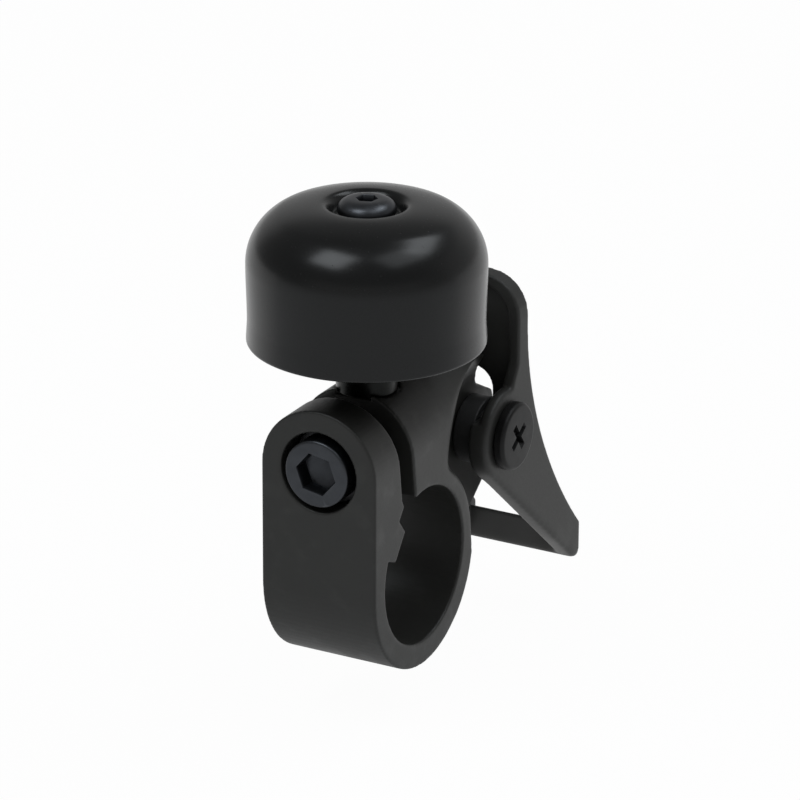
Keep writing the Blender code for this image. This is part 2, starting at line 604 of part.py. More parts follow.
def build_lever(pivot):
    """Moulded lever: two cheeks, a spoon above, a thumb bar below and a stop rib."""
    plastic = coat("lever black plastic", (0.055, 0.055, 0.053), 0.55, 0.0)
    lever = prism("trigger_lever", lever_outline(), "X", -HALF_LEVER - TRIM, HALF_LEVER + TRIM, plastic)
    top = PIVOT_Z + SPOON_TOP
    bar_top = PIVOT_Z + TAIL_TOP
    low = bar_top - THUMB_BAR_HEIGHT - TRIM
    near = PIVOT_Y - LEVER_BOSS_RADIUS - TRIM
    far = PIVOT_Y + TAIL_REACH + TRIM
    web_foot = PIVOT_Z + WEB_FOOT
    bar_front = PIVOT_Y + TAIL_REACH - THUMB_BAR_THICKNESS
    shell = spoon_outline(HALF_LEVER, SPOON_CORNER, top, low)
    combine(lever, prism("lever shell", shell, "Y", near, far), "INTERSECT")
    pocket = spoon_outline(HALF_LEVER - SPOON_RIM, SPOON_CORNER - SPOON_RIM, top - SPOON_RIM, web_foot)
    combine(lever, prism("spoon pocket", pocket, "Y", near, WEB_FRONT_Y))
    web_front = WEB_FRONT_Y - EDGE_BREAK
    bar_slope = math.tan(TAIL_SLOPE) * (far - bar_front)
    channel = [(near, top - SPOON_CORNER), (web_front, top - SPOON_CORNER), (web_front, web_foot)]
    channel += [(far, web_foot), (far, bar_top - bar_slope), (bar_front, bar_top)]
    channel += [(bar_front, low), (near, low)]
    combine(lever, prism("lever channel", channel, "X", -CHEEK_INSIDE, CHEEK_INSIDE))
    window = spoon_outline(WINDOW_HALF_WIDTH, WINDOW_CORNER, PIVOT_Z + WINDOW_TOP, web_foot - TRIM)
    combine(lever, prism("web window", window, "Y", WEB_FRONT_Y - TRIM, far))
    stop_y = PIVOT_Y + STOP_BEHIND_PIVOT + RUN_GAP
    rib_back = WEB_FRONT_Y + WEB_THICKNESS / 2
    rib_low = PIVOT_Z + STOP_RIB_LOW
    rib_high = PIVOT_Z + STOP_RIB_HIGH
    rib = [(stop_y, rib_low), (rib_back, rib_low), (rib_back, rib_high), (stop_y, rib_high)]
    combine(lever, prism("stop rib", rib, "X", -STOP_RIB_WIDTH / 2, STOP_RIB_WIDTH / 2), "UNION")
    axis = Matrix.Translation((0, PIVOT_Y, PIVOT_Z)) @ ALONG_X
    combine(lever, rod("lever pivot hole", PIVOT_HOLE, -HALF_LEVER - TRIM, HALF_LEVER + TRIM, axis))
    rivet = Matrix.Translation((0, 0, RIVET_Z)) @ ALONG_Y
    combine(lever, rod("rivet hole", RIVET_RADIUS + RUN_GAP, WEB_FRONT_Y - TRIM, far, rivet, 24))
    hang(lever, pivot)


def hang(piece, axis):
    """Parent a moving piece to the empty on its axis, without moving it."""
    piece.parent = axis
    piece.matrix_parent_inverse = Matrix.Translation(axis.location).inverted()


def axis_empty(name, place):
    """Empty that marks a joint's axis."""
    empty = bpy.data.objects.new(name, None)
    empty.location = place
    bpy.context.collection.objects.link(empty)
    return empty


def build_striker(lever_axis):
    """Spring leaf with its striker, riveted to the spoon."""
    spring_steel = coat("striker leaf steel", (0.35, 0.35, 0.34), 0.35, 1.0)
    brass = coat("striker brass", (0.55, 0.42, 0.2), 0.3, 1.0)
    steel = coat("rivet steel", (0.3, 0.3, 0.3), 0.4, 1.0)
    bend = RIVET_Z + LEAF_RISE
    tip_back = STRIKER_BASE_Y + SEAT_GAP + LEAF_THICKNESS
    tip_low = STRIKER_Z - STRIKER_RADIUS
    tip_high = STRIKER_Z + LEAF_ABOVE_STRIKER
    lift = LEAF_THICKNESS / 2
    back = [(LEAF_BACK_Y, RIVET_Z - LEAF_TAIL), (LEAF_BACK_Y, bend + lift), (tip_back, tip_low + lift)]
    back += [(tip_back, tip_high)]
    front = [(tip_back - LEAF_THICKNESS, tip_high), (tip_back - LEAF_THICKNESS, tip_low - lift)]
    front += [(LEAF_FRONT_Y, bend - lift), (LEAF_FRONT_Y, RIVET_Z - LEAF_TAIL)]
    striker_axis = axis_empty("striker_axis", (0, (LEAF_BACK_Y + LEAF_FRONT_Y) / 2, RIVET_Z))
    leaf = prism("striker_leaf", back + front, "X", -LEAF_WIDTH / 2, LEAF_WIDTH / 2, spring_steel)
    rivet_place = Matrix.Translation((0, 0, RIVET_Z)) @ ALONG_Y
    head_place = Matrix.Translation((0, 0, STRIKER_Z)) @ ALONG_Y
    rivet_hole = RIVET_RADIUS + RUN_GAP
    stem_hole = STRIKER_STEM_RADIUS + RUN_GAP
    leaf_front = LEAF_FRONT_Y - TRIM
    combine(leaf, rod("leaf rivet hole", rivet_hole, leaf_front, LEAF_BACK_Y + TRIM, rivet_place, 24))
    stem_front = STRIKER_BASE_Y - TRIM
    combine(leaf, rod("leaf striker hole", stem_hole, stem_front, tip_back + TRIM, head_place, 24))
    hang(leaf, striker_axis)
    radius = STRIKER_RADIUS
    nose = arc((radius - STRIKER_NOSE, STRIKER_TIP_Y + STRIKER_NOSE), STRIKER_NOSE, 270, 360, FILLET_STEPS)
    collar = tip_back + SEAT_GAP
    profile = [(0, collar + STRIKER_COLLAR), (STRIKER_COLLAR_RADIUS, collar + STRIKER_COLLAR)]
    profile += [(STRIKER_COLLAR_RADIUS, collar), (STRIKER_STEM_RADIUS, collar)]
    profile += [(STRIKER_STEM_RADIUS, STRIKER_BASE_Y), (radius, STRIKER_BASE_Y), *reversed(nose)]
    profile += [(0, STRIKER_TIP_Y)]
    hang(turned("striker_head", profile, head_place, brass), striker_axis)
    head_front = LEAF_FRONT_Y - SEAT_GAP - RIVET_HEAD_HEIGHT
    head_back = LEAF_FRONT_Y - SEAT_GAP
    tail = PIVOT_Y + SPOON_BACK + SEAT_GAP
    snap = bezier(
        (RIVET_HEAD_RADIUS, head_back),
        (RIVET_HEAD_RADIUS, head_front + RIVET_HEAD_HEIGHT / 3),
        (RIVET_HEAD_RADIUS / 2, head_front),
        (RIVET_RADIUS / 2, head_front),
        6,
    )
    profile = [(0, tail + RIVET_HEAD_HEIGHT / 2), (RIVET_HEAD_RADIUS, tail + RIVET_HEAD_HEIGHT / 2)]
    profile += [(RIVET_HEAD_RADIUS, tail), (RIVET_RADIUS, tail), (RIVET_RADIUS, head_back), *snap]
    profile += [(0, head_front)]
    hang(turned("striker_rivet", profile, rivet_place, steel), lever_axis)


def build_pivot():
    """Screw, sleeve, spacer, washer and nut that carry the lever on the arm."""
    steel = coat("pivot screw black zinc", (0.07, 0.07, 0.072), 0.4, 0.8)
    plain = coat("pivot sleeve steel", (0.4, 0.4, 0.4), 0.35, 1.0)
    nylon = coat("spacer nylon", (0.02, 0.02, 0.02), 0.6, 0.0)
    place = Matrix.Translation((0, PIVOT_Y, PIVOT_Z)) @ ALONG_X
    under = HALF_LEVER + SEAT_GAP
    face = under + PIVOT_HEAD_HEIGHT
    head = PIVOT_HEAD_DIAMETER / 2
    shank = PIVOT_SCREW_DIAMETER / 2
    nut_low = -under - NUT_WASHER_THICKNESS - SEAT_GAP
    end = nut_low - NUT_THICKNESS - SCREW_TIP
    edge = arc((head - PIVOT_HEAD_EDGE, face - PIVOT_HEAD_EDGE), PIVOT_HEAD_EDGE, 90, 0, FILLET_STEPS)
    profile = [(0, face), *edge, (head, under), (shank, under), (shank, end), (0, end)]
    screw = turned("pivot_screw", profile, place, steel, 40)
    for turn in (CROSS_TURN, CROSS_TURN + 90):
        spread = Matrix.Rotation(math.radians(turn), 2)
        corners = [(-1, -1), (1, -1), (1, 1), (-1, 1)]
        bar = [spread @ Vector((a * CROSS_LENGTH / 2, b * CROSS_WIDTH / 2)) for a, b in corners]
        bar = [(PIVOT_Y + y, PIVOT_Z + z) for y, z in bar]
        combine(screw, prism(f"cross slot {turn:.0f}", bar, "X", face - CROSS_DEPTH, face + TRIM))
    washer("pivot_sleeve", SLEEVE_INSIDE, SLEEVE_RADIUS, -HALF_LEVER, HALF_LEVER, place, plain)
    spacer = SLEEVE_RADIUS + RUN_GAP
    low = HALF_ARM + SEAT_GAP
    washer("pivot_spacer", spacer, spacer + SPACER_WALL, low, CHEEK_INSIDE - RUN_GAP, place, nylon)
    inside = shank + RUN_GAP
    outside = SLEEVE_RADIUS + NUT_WASHER_WALL
    washer("nut_washer", inside, outside, -under - NUT_WASHER_THICKNESS, -under, place, plain)
    corners = [(PIVOT_Y + y, PIVOT_Z + z) for y, z in hexagon(NUT_ACROSS_FLATS, 0)]
    nut = prism("pivot_nut", corners, "X", nut_low - NUT_THICKNESS, nut_low, plain)
    combine(nut, rod("nut thread", inside, nut_low - NUT_THICKNESS - TRIM, nut_low + TRIM, place))


def spring_anchor():
    """Point in Y and Z where the spring's fixed leg turns into the arm."""
    return PIVOT_Y - SPRING_FIXED_LEG, PIVOT_Z - coil_radius()


def coil_radius():
    """Radius of the spring at the middle of its wire."""
    return SLEEVE_RADIUS + RUN_GAP + SPRING_WIRE


def spring_route():
    """Middle of the spring's wire: hook in the arm, leg, curls, leg and hook under the cheek."""
    radius = coil_radius()
    start_x = -(HALF_ARM + SEAT_GAP + SPRING_WIRE / 2)
    anchor = spring_anchor()
    hook_start = start_x + SEAT_GAP + SPRING_WIRE + SPRING_ARM_HOOK
    route = [Vector((hook_start, *anchor)), Vector((start_x, *anchor))]
    leave = 270 - math.degrees(TAIL_EDGE_SLOPE) - math.degrees(SPRING_LEG_LEAN)
    sweep = leave + 90 + 360
    count = round(sweep / 360 * SPRING_CURL_POINTS)
    for step in range(count + 1):
        angle = math.radians(-90 + sweep * step / count)
        along = start_x - SPRING_PITCH * sweep / 360 * step / count
        y = PIVOT_Y + radius * math.cos(angle)
        z = PIVOT_Z + radius * math.sin(angle)
        route.append(Vector((along, y, z)))
    end_x = route[-1].x
    edge = LEVER_BOSS_RADIUS + SEAT_GAP + SPRING_WIRE / 2
    rise = edge - radius * math.cos(SPRING_LEG_LEAN)
    leg = rise / math.sin(SPRING_LEG_LEAN)
    along_edge = leg * math.cos(SPRING_LEG_LEAN) - radius * math.sin(SPRING_LEG_LEAN)
    foot = tail_edge(along_edge, edge)
    route.append(Vector((end_x, *foot)))
    route.append(Vector((end_x - SPRING_HOOK, *foot)))
    return route


def least_gap(route, wire):
    """Smallest clear distance between stretches of a wire that don't follow each other."""
    fine = []
    for start, end in zip(route, route[1:]):
        fine += [start.lerp(end, step / 8) for step in range(8)]
    apart = 3 * wire
    way = [0.0]
    for start, end in zip(fine, fine[1:]):
        way.append(way[-1] + (end - start).length)
    gaps = []
    for one, first in enumerate(fine):
        for two in range(one + 1, len(fine)):
            if way[two] - way[one] > apart:
                gaps.append((fine[two] - first).length - wire)
    return min(gaps)


def build_spring():
    """Torsion spring round the pivot, as one unbroken wire."""
    steel = coat("return spring steel", (0.45, 0.45, 0.45), 0.3, 1.0)
    route = spring_route()
    curve = bpy.data.curves.new("return_spring", "CURVE")
    curve.dimensions = "3D"
    curve.bevel_depth = SPRING_WIRE / 2
    curve.bevel_resolution = 1
    curve.use_fill_caps = True
    spline = curve.splines.new("POLY")
    spline.points.add(len(route) - 1)
    for point, place in zip(spline.points, route):
        point.co = (*place, 1)
    curve.materials.append(steel)
    spring = bpy.data.objects.new("return_spring", curve)
    bpy.context.collection.objects.link(spring)
    print(f"return_spring: least gap to itself {least_gap(route, SPRING_WIRE) / MM:.2f} mm")


def main():
    for leftover in list(bpy.data.objects):
        bpy.data.objects.remove(leftover, do_unlink=True)
    build_clamp()
    build_clamp_screw()
    build_bell()
    pivot = axis_empty("lever_axis", (0, PIVOT_Y, PIVOT_Z))
    build_lever(pivot)
    build_striker(pivot)
    build_pivot()
    build_spring()


main()
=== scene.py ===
"""Looks of a clamp-on handlebar bell with a thumb lever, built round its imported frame.

Metres, +Z up. The origin is the middle of the handlebar bore: +X runs along the bar,
+Y points back to the thumb lever and +Z points up to the bell.
"""

import logging
import math
from collections.abc import Callable, Sequence
from dataclasses import dataclass
from enum import Enum

import bmesh
import bpy
import numpy as np
from mathutils import Matrix, Vector


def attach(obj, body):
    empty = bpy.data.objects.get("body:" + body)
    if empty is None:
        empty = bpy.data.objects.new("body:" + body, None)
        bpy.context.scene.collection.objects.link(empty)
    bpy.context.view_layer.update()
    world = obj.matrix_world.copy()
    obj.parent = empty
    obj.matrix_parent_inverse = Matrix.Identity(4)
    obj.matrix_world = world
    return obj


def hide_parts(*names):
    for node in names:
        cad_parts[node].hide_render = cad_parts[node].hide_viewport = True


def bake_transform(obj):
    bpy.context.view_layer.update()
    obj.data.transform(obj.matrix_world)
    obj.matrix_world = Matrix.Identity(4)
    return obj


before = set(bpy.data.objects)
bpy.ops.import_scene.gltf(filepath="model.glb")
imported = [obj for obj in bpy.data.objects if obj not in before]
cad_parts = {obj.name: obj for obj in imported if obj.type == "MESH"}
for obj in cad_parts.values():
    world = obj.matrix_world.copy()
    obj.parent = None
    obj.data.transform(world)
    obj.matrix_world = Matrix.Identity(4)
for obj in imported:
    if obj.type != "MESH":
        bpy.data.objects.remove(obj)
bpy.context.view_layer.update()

MM = 0.001
MICRON = 0.000001
LOG = logging.getLogger("bell")

Colour = tuple[float, float, float]
Point = tuple[float, float, float]
Span = tuple[float, float]
Tube = tuple[float, float, float, float]
Profile = list[Span]
Formula = Callable[[np.ndarray], np.ndarray]
Radius = float | Formula
Rings = list[tuple[Radius, float]]

# Points on the axes that several pieces share
CLAMP_SCREW: Point = (0.0, 0.0, 16.8 * MM)
BELL_AXIS: Point = (0.0, -0.7 * MM, 0.0)
PIVOT: Point = (0.0, 21.95 * MM, 11.5 * MM)
STRIKER: Point = (0.0, 0.0, 34.5 * MM)
RIVET: Point = (0.0, 0.0, 26.3 * MM)

WHITE = (1.0, 1.0, 1.0, 1.0)
CAST_SHARP = 60.0
NEARLY_STRAIGHT = math.radians(80.0)
SIDE_SHARE = 0.45
THREAD_STEPS = 8
THREAD_TOP = 1.6
THREAD_SLOPE = 4.0


class Axis(Enum):
    """Direction that a turned piece is laid along."""

    X = "X"
    Y = "Y"
    Z = "Z"

    def place(self, centre: Point) -> Matrix:
        """Lay a piece drawn along +Z on this axis.

        Args:
            centre: Point that the axis passes through, with 0 along the axis itself.

        Returns:
            Matrix that carries the drawn piece to its place.
        """
        turns = {Axis.X: (90.0, "Y"), Axis.Y: (-90.0, "X"), Axis.Z: (0.0, "Z")}
        degrees, about = turns[self]
        return Matrix.Translation(centre) @ Matrix.Rotation(math.radians(degrees), 4, about)


class Body(Enum):
    """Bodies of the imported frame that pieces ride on."""

    CLAMP = "clamp"
    TRIGGER = "trigger"
    STRIKER = "striker"


# Shader nodes


class Wire:
    """Output socket of a shader node. Arithmetic on it adds Math nodes."""

    def __init__(self, shader: "Shader", socket: bpy.types.NodeSocket) -> None:
        """Keep the socket and the node tree that it belongs to."""
        self.shader = shader
        self.socket = socket

    def _math(self, operation: str, first: "Wire | float", second: "Wire | float") -> "Wire":
        """Add one Math node on two values."""
        return self.shader.add("ShaderNodeMath", {"operation": operation}, {0: first, 1: second})

    def __add__(self, other: "Wire | float") -> "Wire":
        """Sum of two values."""
        return self._math("ADD", self, other)

    def __radd__(self, other: float) -> "Wire":
        """Sum with a number in front."""
        return self._math("ADD", other, self)

    def __sub__(self, other: "Wire | float") -> "Wire":
        """Difference of two values."""
        return self._math("SUBTRACT", self, other)

    def __rsub__(self, other: float) -> "Wire":
        """Difference with a number in front."""
        return self._math("SUBTRACT", other, self)

    def __mul__(self, other: "Wire | float") -> "Wire":
        """Product of two values."""
        return self._math("MULTIPLY", self, other)

    def __rmul__(self, other: float) -> "Wire":
        """Product with a number in front."""
        return self._math("MULTIPLY", other, self)

    def __pow__(self, power: float) -> "Wire":
        """Power of a value."""
        return self._math("POWER", self, power)

    def rise(self, low: float, high: float) -> "Wire":
        """Mask that goes smoothly from 0 at low to 1 at high."""
        settings = {"interpolation_type": "SMOOTHSTEP"}
        return self.shader.add("ShaderNodeMapRange", settings, {0: self, 1: low, 2: high})


class Shader:
    """Node tree of one material or of the world."""

    def __init__(self, owner: bpy.types.Material | bpy.types.World) -> None:
        """Start from an empty node tree."""
        owner.use_nodes = True
        self.tree = owner.node_tree
        self.tree.nodes.clear()

    def add(
        self,
        kind: str,
        settings: dict[str, object] | None = None,
        inputs: dict[int | str, object] | None = None,
        output: int | str = 0,
    ) -> Wire | None:
        """Add one node.

        Args:
            kind: Blender's name of the node's type.
            settings: Properties of the node, set first.
            inputs: Values or wires by socket.
            output: Socket that the result is taken from.

        Returns:
            Wire from that output, or nothing for a node without one.
        """
        node = self.tree.nodes.new(kind)
        for name, value in (settings or {}).items():
            setattr(node, name, value)
        for name, value in (inputs or {}).items():
            socket = node.inputs[name]
            if isinstance(value, Wire):
                self.tree.links.new(value.socket, socket)
            else:
                socket.default_value = value
        return Wire(self, node.outputs[output]) if len(node.outputs) else None

    def mix(self, mask: Wire, low: Wire | Colour, high: Wire | Colour) -> Wire:
        """Colour that goes from low to high with a mask."""
        pair = [value if isinstance(value, Wire) else (*value, 1.0) for value in (low, high)]
        return self.add("ShaderNodeMix", {"data_type": "RGBA"}, {0: mask, 6: pair[0], 7: pair[1]}, 2)

    def split(self, vector: Wire, names: str = "XYZ") -> list[Wire]:
        """Single parts of a vector."""
        return [self.add("ShaderNodeSeparateXYZ", None, {0: vector}, name) for name in names]

    def point(self) -> Wire:
        """Place on the piece, in metres."""
        return self.add("ShaderNodeTexCoord", output="Object")

    def noise(self, size: float, detail: float = 2.0, stretch: Point = (1.0, 1.0, 1.0)) -> Wire:
        """Soft blotches.

        Args:
            size: Width of a blotch in metres.
            detail: Number of finer layers.
            stretch: How tightly the blotches repeat along X, Y and Z.

        Returns:
            Wire with values about 0.5.
        """
        scale = tuple(value / size for value in stretch)
        spread = {"Vector": self.point(), "Scale": scale}
        place = self.add("ShaderNodeMapping", inputs=spread)
        return self.add("ShaderNodeTexNoise", None, {"Vector": place, "Scale": 1.0, "Detail": detail})

    def cells(self, size: float) -> Wire:
        """Distance to the nearest of many scattered points, in widths of a cell."""
        return self.add("ShaderNodeTexVoronoi", None, {"Vector": self.point(), "Scale": 1.0 / size})

    def rings(self, axis: Axis, centre: Point, size: float) -> Wire:
        """Fine lines that a lathe leaves round an axis.

        Args:
            axis: Axis that the piece was turned on.
            centre: Point on that axis.
            size: Width of a line in metres.

        Returns:
            Wire with values about 0.5.
        """
        shift = {0: self.point(), 1: centre}
        local = self.add("ShaderNodeVectorMath", {"operation": "SUBTRACT"}, shift)
        parts = self.split(local)
        along = parts.pop("XYZ".index(axis.value))
        radius = (parts[0] * parts[0] + parts[1] * parts[1]) ** 0.5
        flat = self.add("ShaderNodeCombineXYZ", None, {"X": radius, "Y": along})
        lines = {"Vector": flat, "Scale": 1.0 / size, "Detail": 3.0}
        return self.add("ShaderNodeTexNoise", {"noise_dimensions": "2D"}, lines)

    def edges(self, low: float, high: float) -> Wire:
        """Mask of the piece's outer edges."""
        return self.add("ShaderNodeNewGeometry", output="Pointiness").rise(low, high)

    def bump(self, height: Wire, depth: float, under: Wire | None = None) -> Wire:
        """Relief on a surface.

        Args:
            height: Relief, from 0 to 1.
            depth: Its depth in metres.
            under: Another relief that it lies on.

        Returns:
            Wire for the Normal socket.
        """
        inputs = {"Height": height, "Distance": depth, "Strength": 1.0}
        if under:
            inputs["Normal"] = under
        return self.add("ShaderNodeBump", None, inputs)


# Finishes


def shade(colour: Colour, factor: float) -> Colour:
    """The same colour, lighter or darker."""
    return tuple(value * factor for value in colour)


@dataclass(frozen=True)
class Finish:
    """Surface of a piece: even values as fields, and what varies over it in paint()."""

    name: str
    colour: Colour
    roughness: float
    metallic: float = 0.0
    specular: float = 0.5
    tint: Span = (0.8, 1.2)

    def paint(self, shader: Shader) -> dict[str, Wire]:
        """Sockets of the surface that vary over the piece."""
        raise NotImplementedError

    def mottle(self, shader: Shader, mask: Wire) -> Wire:
        """Colour that goes from its darker to its lighter tint with a mask."""
        low, high = (shade(self.colour, factor) for factor in self.tint)
        return shader.mix(mask, low, high)

    def material(self) -> bpy.types.Material:
        """Material of this finish, made once.

        Returns:
            The material, new or found.
        """
        found = bpy.data.materials.get(self.name)
        if found:
            return found
        material = bpy.data.materials.new(self.name)
        shader = Shader(material)
        inputs = {"Base Color": (*self.colour, 1.0), "Roughness": self.roughness}
        inputs |= {"Metallic": self.metallic, "Specular IOR Level": self.specular}
        inputs |= self.paint(shader)
        surface = shader.add("ShaderNodeBsdfPrincipled", None, inputs)
        shader.add("ShaderNodeOutputMaterial", None, {"Surface": surface})
        return material


@dataclass(frozen=True)
class GlossEnamel(Finish):
    """Sprayed gloss paint with orange peel, a faint haze and a little dust."""

    peel: float = 0.9 * MM
    peel_depth: float = 0.8 * MICRON
    haze: float = 9.0 * MM
    haze_rough: float = 0.05
    dust: float = 0.9 * MM
    dust_ends: Span = (0.04, 0.1)
    dust_rough: float = 0.25
    dust_tint: float = 2.0

    def paint(self, shader: Shader) -> dict[str, Wire]:
        """Peel in relief, haze and dust in roughness.

        Args:
            shader: Node tree of the material.

        Returns:
            Wires by the name of their socket.
        """
        haze = shader.noise(self.haze, detail=3.0)
        dust = 1.0 - shader.cells(self.dust).rise(*self.dust_ends)
        colour = self.mottle(shader, haze)
        return {
            "Base Color": shader.mix(dust, colour, shade(self.colour, self.dust_tint)),
            "Roughness": self.roughness + self.haze_rough * (haze - 0.5) + self.dust_rough * dust,
            "Normal": shader.bump(shader.noise(self.peel, detail=1.0), self.peel_depth),
        }


@dataclass(frozen=True)
class CastCoat(Finish):
    """Thin satin coat on a casting, handled smooth in places."""

    tint: Span = (0.85, 1.15)
    grain: float = 0.22 * MM
    grain_depth: float = 5.0 * MICRON
    grain_rough: float = 0.14
    wave: float = 5.0 * MM
    wave_depth: float = 12.0 * MICRON
    wave_rough: float = 0.1
    mark: float = 3.2 * MM
    mark_ends: Span = (0.5, 0.72)
    mark_polish: float = 0.05
    mark_tint: float = 1.2

    def paint(self, shader: Shader) -> dict[str, Wire]:
        """Powder grain and casting waves in relief, handling marks in colour.

        Args:
            shader: Node tree of the material.

        Returns:
            Wires by the name of their socket.
        """
        grain = shader.noise(self.grain, detail=4.0)
        wave = shader.noise(self.wave)
        handled = shader.noise(self.mark, detail=3.0).rise(*self.mark_ends)
        colour = self.mottle(shader, wave)
        rough = self.roughness + self.grain_rough * (grain - 0.5) + self.wave_rough * (wave - 0.5)
        return {
            "Base Color": shader.mix(handled, colour, shade(self.colour, self.mark_tint)),
            "Roughness": rough - self.mark_polish * handled,
            "Normal": shader.bump(grain, self.grain_depth, shader.bump(wave, self.wave_depth)),
        }


@dataclass(frozen=True)
class MouldedPlastic(Finish):
    """Spark-grained plastic, rubbed smoother where a thumb presses it."""

    tint: Span = (0.9, 1.1)
    grain: float = 0.3 * MM
    grain_depth: float = 6.0 * MICRON
    grain_rough: float = 0.12
    flow: float = 6.0 * MM
    flow_stretch: Point = (1.0, 1.0, 0.35)
    thumb: float = -6.0 * MM
    thumb_fade: float = 6.0 * MM
    polish_ends: Span = (0.4, 0.6)
    polish_share: float = 0.4
    polish_tint: float = 1.3
    polish_rough: float = 0.08

    def paint(self, shader: Shader) -> dict[str, Wire]:
        """Mould grain in relief, thumb polish in roughness.

        Args:
            shader: Node tree of the material.

        Returns:
            Wires by the name of their socket.
        """
        grain = shader.noise(self.grain, detail=3.0)
        flow = shader.noise(self.flow, stretch=self.flow_stretch)
        (height,) = shader.split(shader.point(), "Z")
        pressed = 1.0 - height.rise(self.thumb - self.thumb_fade, self.thumb)
        polish = pressed * flow.rise(*self.polish_ends)
        colour = self.mottle(shader, flow)
        bright = shade(self.colour, self.polish_tint)
        return {
            "Base Color": shader.mix(self.polish_share * polish, colour, bright),
            "Roughness": self.roughness + self.grain_rough * (grain - 0.5) - self.polish_rough * polish,
            "Normal": shader.bump(grain, self.grain_depth),
        }


@dataclass(frozen=True)
class TurnedMetal(Finish):
    """Metal turned on a lathe, plain, blackened or plated, with stains and painted highlights on its
    edges.
    """

    axis: Axis = Axis.Z
    centre: Point = (0.0, 0.0, 0.0)
    tint: Span = (0.75, 1.25)
    line: float = 0.12 * MM
    line_depth: float = 1.5 * MICRON
    line_rough: float = 0.1
    spot: float = 1.4 * MM
    spot_rough: float = 0.16
    # Painted highlight: the outer edges get a lighter colour, standing in for the light that their
    # rounding catches.
    edge_highlight_ends: Span = (0.52, 0.62)
    edge_share: float = 0.5
    edge_highlight_tint: float = 1.8

    def paint(self, shader: Shader) -> dict[str, Wire]:
        """Turning lines in relief, stains in colour and roughness, painted highlights on the edges in
        colour.

        Args:
            shader: Node tree of the material.

        Returns:
            Wires by the name of their socket.
        """
        lines = shader.rings(self.axis, self.centre, self.line)
        spots = shader.noise(self.spot, detail=3.0)
        worn = self.mottle(shader, spots)
        # Painted highlight: the colour is lightened on the outer edges, where rounded edges catch light.
        edge = self.edge_share * shader.edges(*self.edge_highlight_ends)
        rough = self.roughness + self.spot_rough * (spots - 0.5)
        return {
            "Base Color": shader.mix(edge, worn, shade(self.colour, self.edge_highlight_tint)),
            "Roughness": rough + self.line_rough * (lines - 0.5),
            "Normal": shader.bump(lines, self.line_depth),
        }


@dataclass(frozen=True)
class DrawnSteel(Finish):
    """Drawn wire or rolled strip, with lines along its length."""

    tint: Span = (0.7, 1.2)
    stretch: Point = (1.0, 1.0, 0.06)
    line: float = 0.09 * MM
    line_depth: float = 1.5 * MICRON
    line_rough: float = 0.12
    film: float = 2.0 * MM
    film_rough: float = 0.2

    def paint(self, shader: Shader) -> dict[str, Wire]:
        """Drawing lines in relief, oil film in colour and roughness.

        Args:
            shader: Node tree of the material.

        Returns:
            Wires by the name of their socket.
        """
        lines = shader.noise(self.line, stretch=self.stretch)
        film = shader.noise(self.film, detail=3.0)
        rough = self.roughness + self.film_rough * (film - 0.5)
        return {
            "Base Color": self.mottle(shader, film),
            "Roughness": rough + self.line_rough * (lines - 0.5),
            "Normal": shader.bump(lines, self.line_depth),
        }


@dataclass(frozen=True)
class PressedFibre(Finish):
    """Pressed fibre or nylon, with short strands in its surface."""

    tint: Span = (0.6, 1.4)
    strand: float = 0.25 * MM
    strand_stretch: Point = (1.0, 0.4, 1.0)
    strand_depth: float = 8.0 * MICRON
    strand_rough: float = 0.15

    def paint(self, shader: Shader) -> dict[str, Wire]:
        """Strands in colour and relief.

        Args:
            shader: Node tree of the material.

        Returns:
            Wires by the name of their socket.
        """
        strands = shader.noise(self.strand, detail=4.0, stretch=self.strand_stretch)
        return {
            "Base Color": self.mottle(shader, strands),
            "Roughness": self.roughness + self.strand_rough * (strands - 0.5),
            "Normal": shader.bump(strands, self.strand_depth),
        }


# Mesh tools


def arc(centre: Span, radius: float, start: float, end: float, steps: int) -> Profile:
    """Points on a circle from start to end, in degrees."""
    angles = np.radians(np.linspace(start, end, steps + 1))
    return [(centre[0] + radius * math.cos(a), centre[1] + radius * math.sin(a)) for a in angles]


def bezier(points: Sequence[Span], steps: int) -> Profile:
    """Points on a cubic curve.

    Args:
        points: Its four control points.
        steps: Number of sides on it.

    Returns:
        Points from its start to its end.
    """
    share = np.linspace(0.0, 1.0, steps + 1)[:, None]
    a, b, c, d = (np.array(point) for point in points)
    rest = 1.0 - share
    curve = a * rest**3 + 3 * b * rest**2 * share + 3 * c * rest * share**2 + d * share**3
    return [tuple(point) for point in curve.tolist()]


def bend(here: Vector, back: Vector, ahead: Vector, reach: float, steps: int) -> list[Vector]:
    """Bend a corner of a line.

    Args:
        here: The corner.
        back: Side that leads back from it.
        ahead: Side that leads on from it.
        reach: Way from the corner to each end of the bend, less where a side is too short for it.
        steps: Number of sides on the bend.

    Returns:
        Points on the bend.
    """
    reach = min(reach, SIDE_SHARE * back.length, SIDE_SHARE * ahead.length)
    start, end = here + back.normalized() * reach, here + ahead.normalized() * reach
    shares = [step / steps for step in range(steps + 1)]
    return [start * (1 - t) ** 2 + here * 2 * t * (1 - t) + end * t * t for t in shares]


def fillet(points: Profile, radius: float, closed: bool = False, steps: int = 4) -> Profile:
    """Round the corners of a line.

    Args:
        points: Corners of the line.
        radius: Radius of the rounding, less where a side is too short for it.
        closed: Whether the line runs back to its start.
        steps: Number of sides on each rounding.

    Returns:
        The line with its corners rounded.
    """
    result: Profile = []
    count = len(points)
    for index, point in enumerate(points):
        if not closed and index in (0, count - 1):
            result.append(point)
            continue
        here = Vector(point)
        back = Vector(points[index - 1]) - here
        ahead = Vector(points[(index + 1) % count]) - here
        half = back.angle(ahead) / 2
        if half > NEARLY_STRAIGHT:
            result.append(point)
            continue
        result += [tuple(bent) for bent in bend(here, back, ahead, radius / math.tan(half), steps)]
    return result


def ramp(distance: np.ndarray, way: float) -> np.ndarray:
    """Share that goes from 0 to 1 over some way."""
    return np.clip(distance / way, 0, 1)


def circle(count: int) -> np.ndarray:
    """Angles of evenly spaced points round a ring."""
    return np.arange(count) * (2 * math.pi / count)


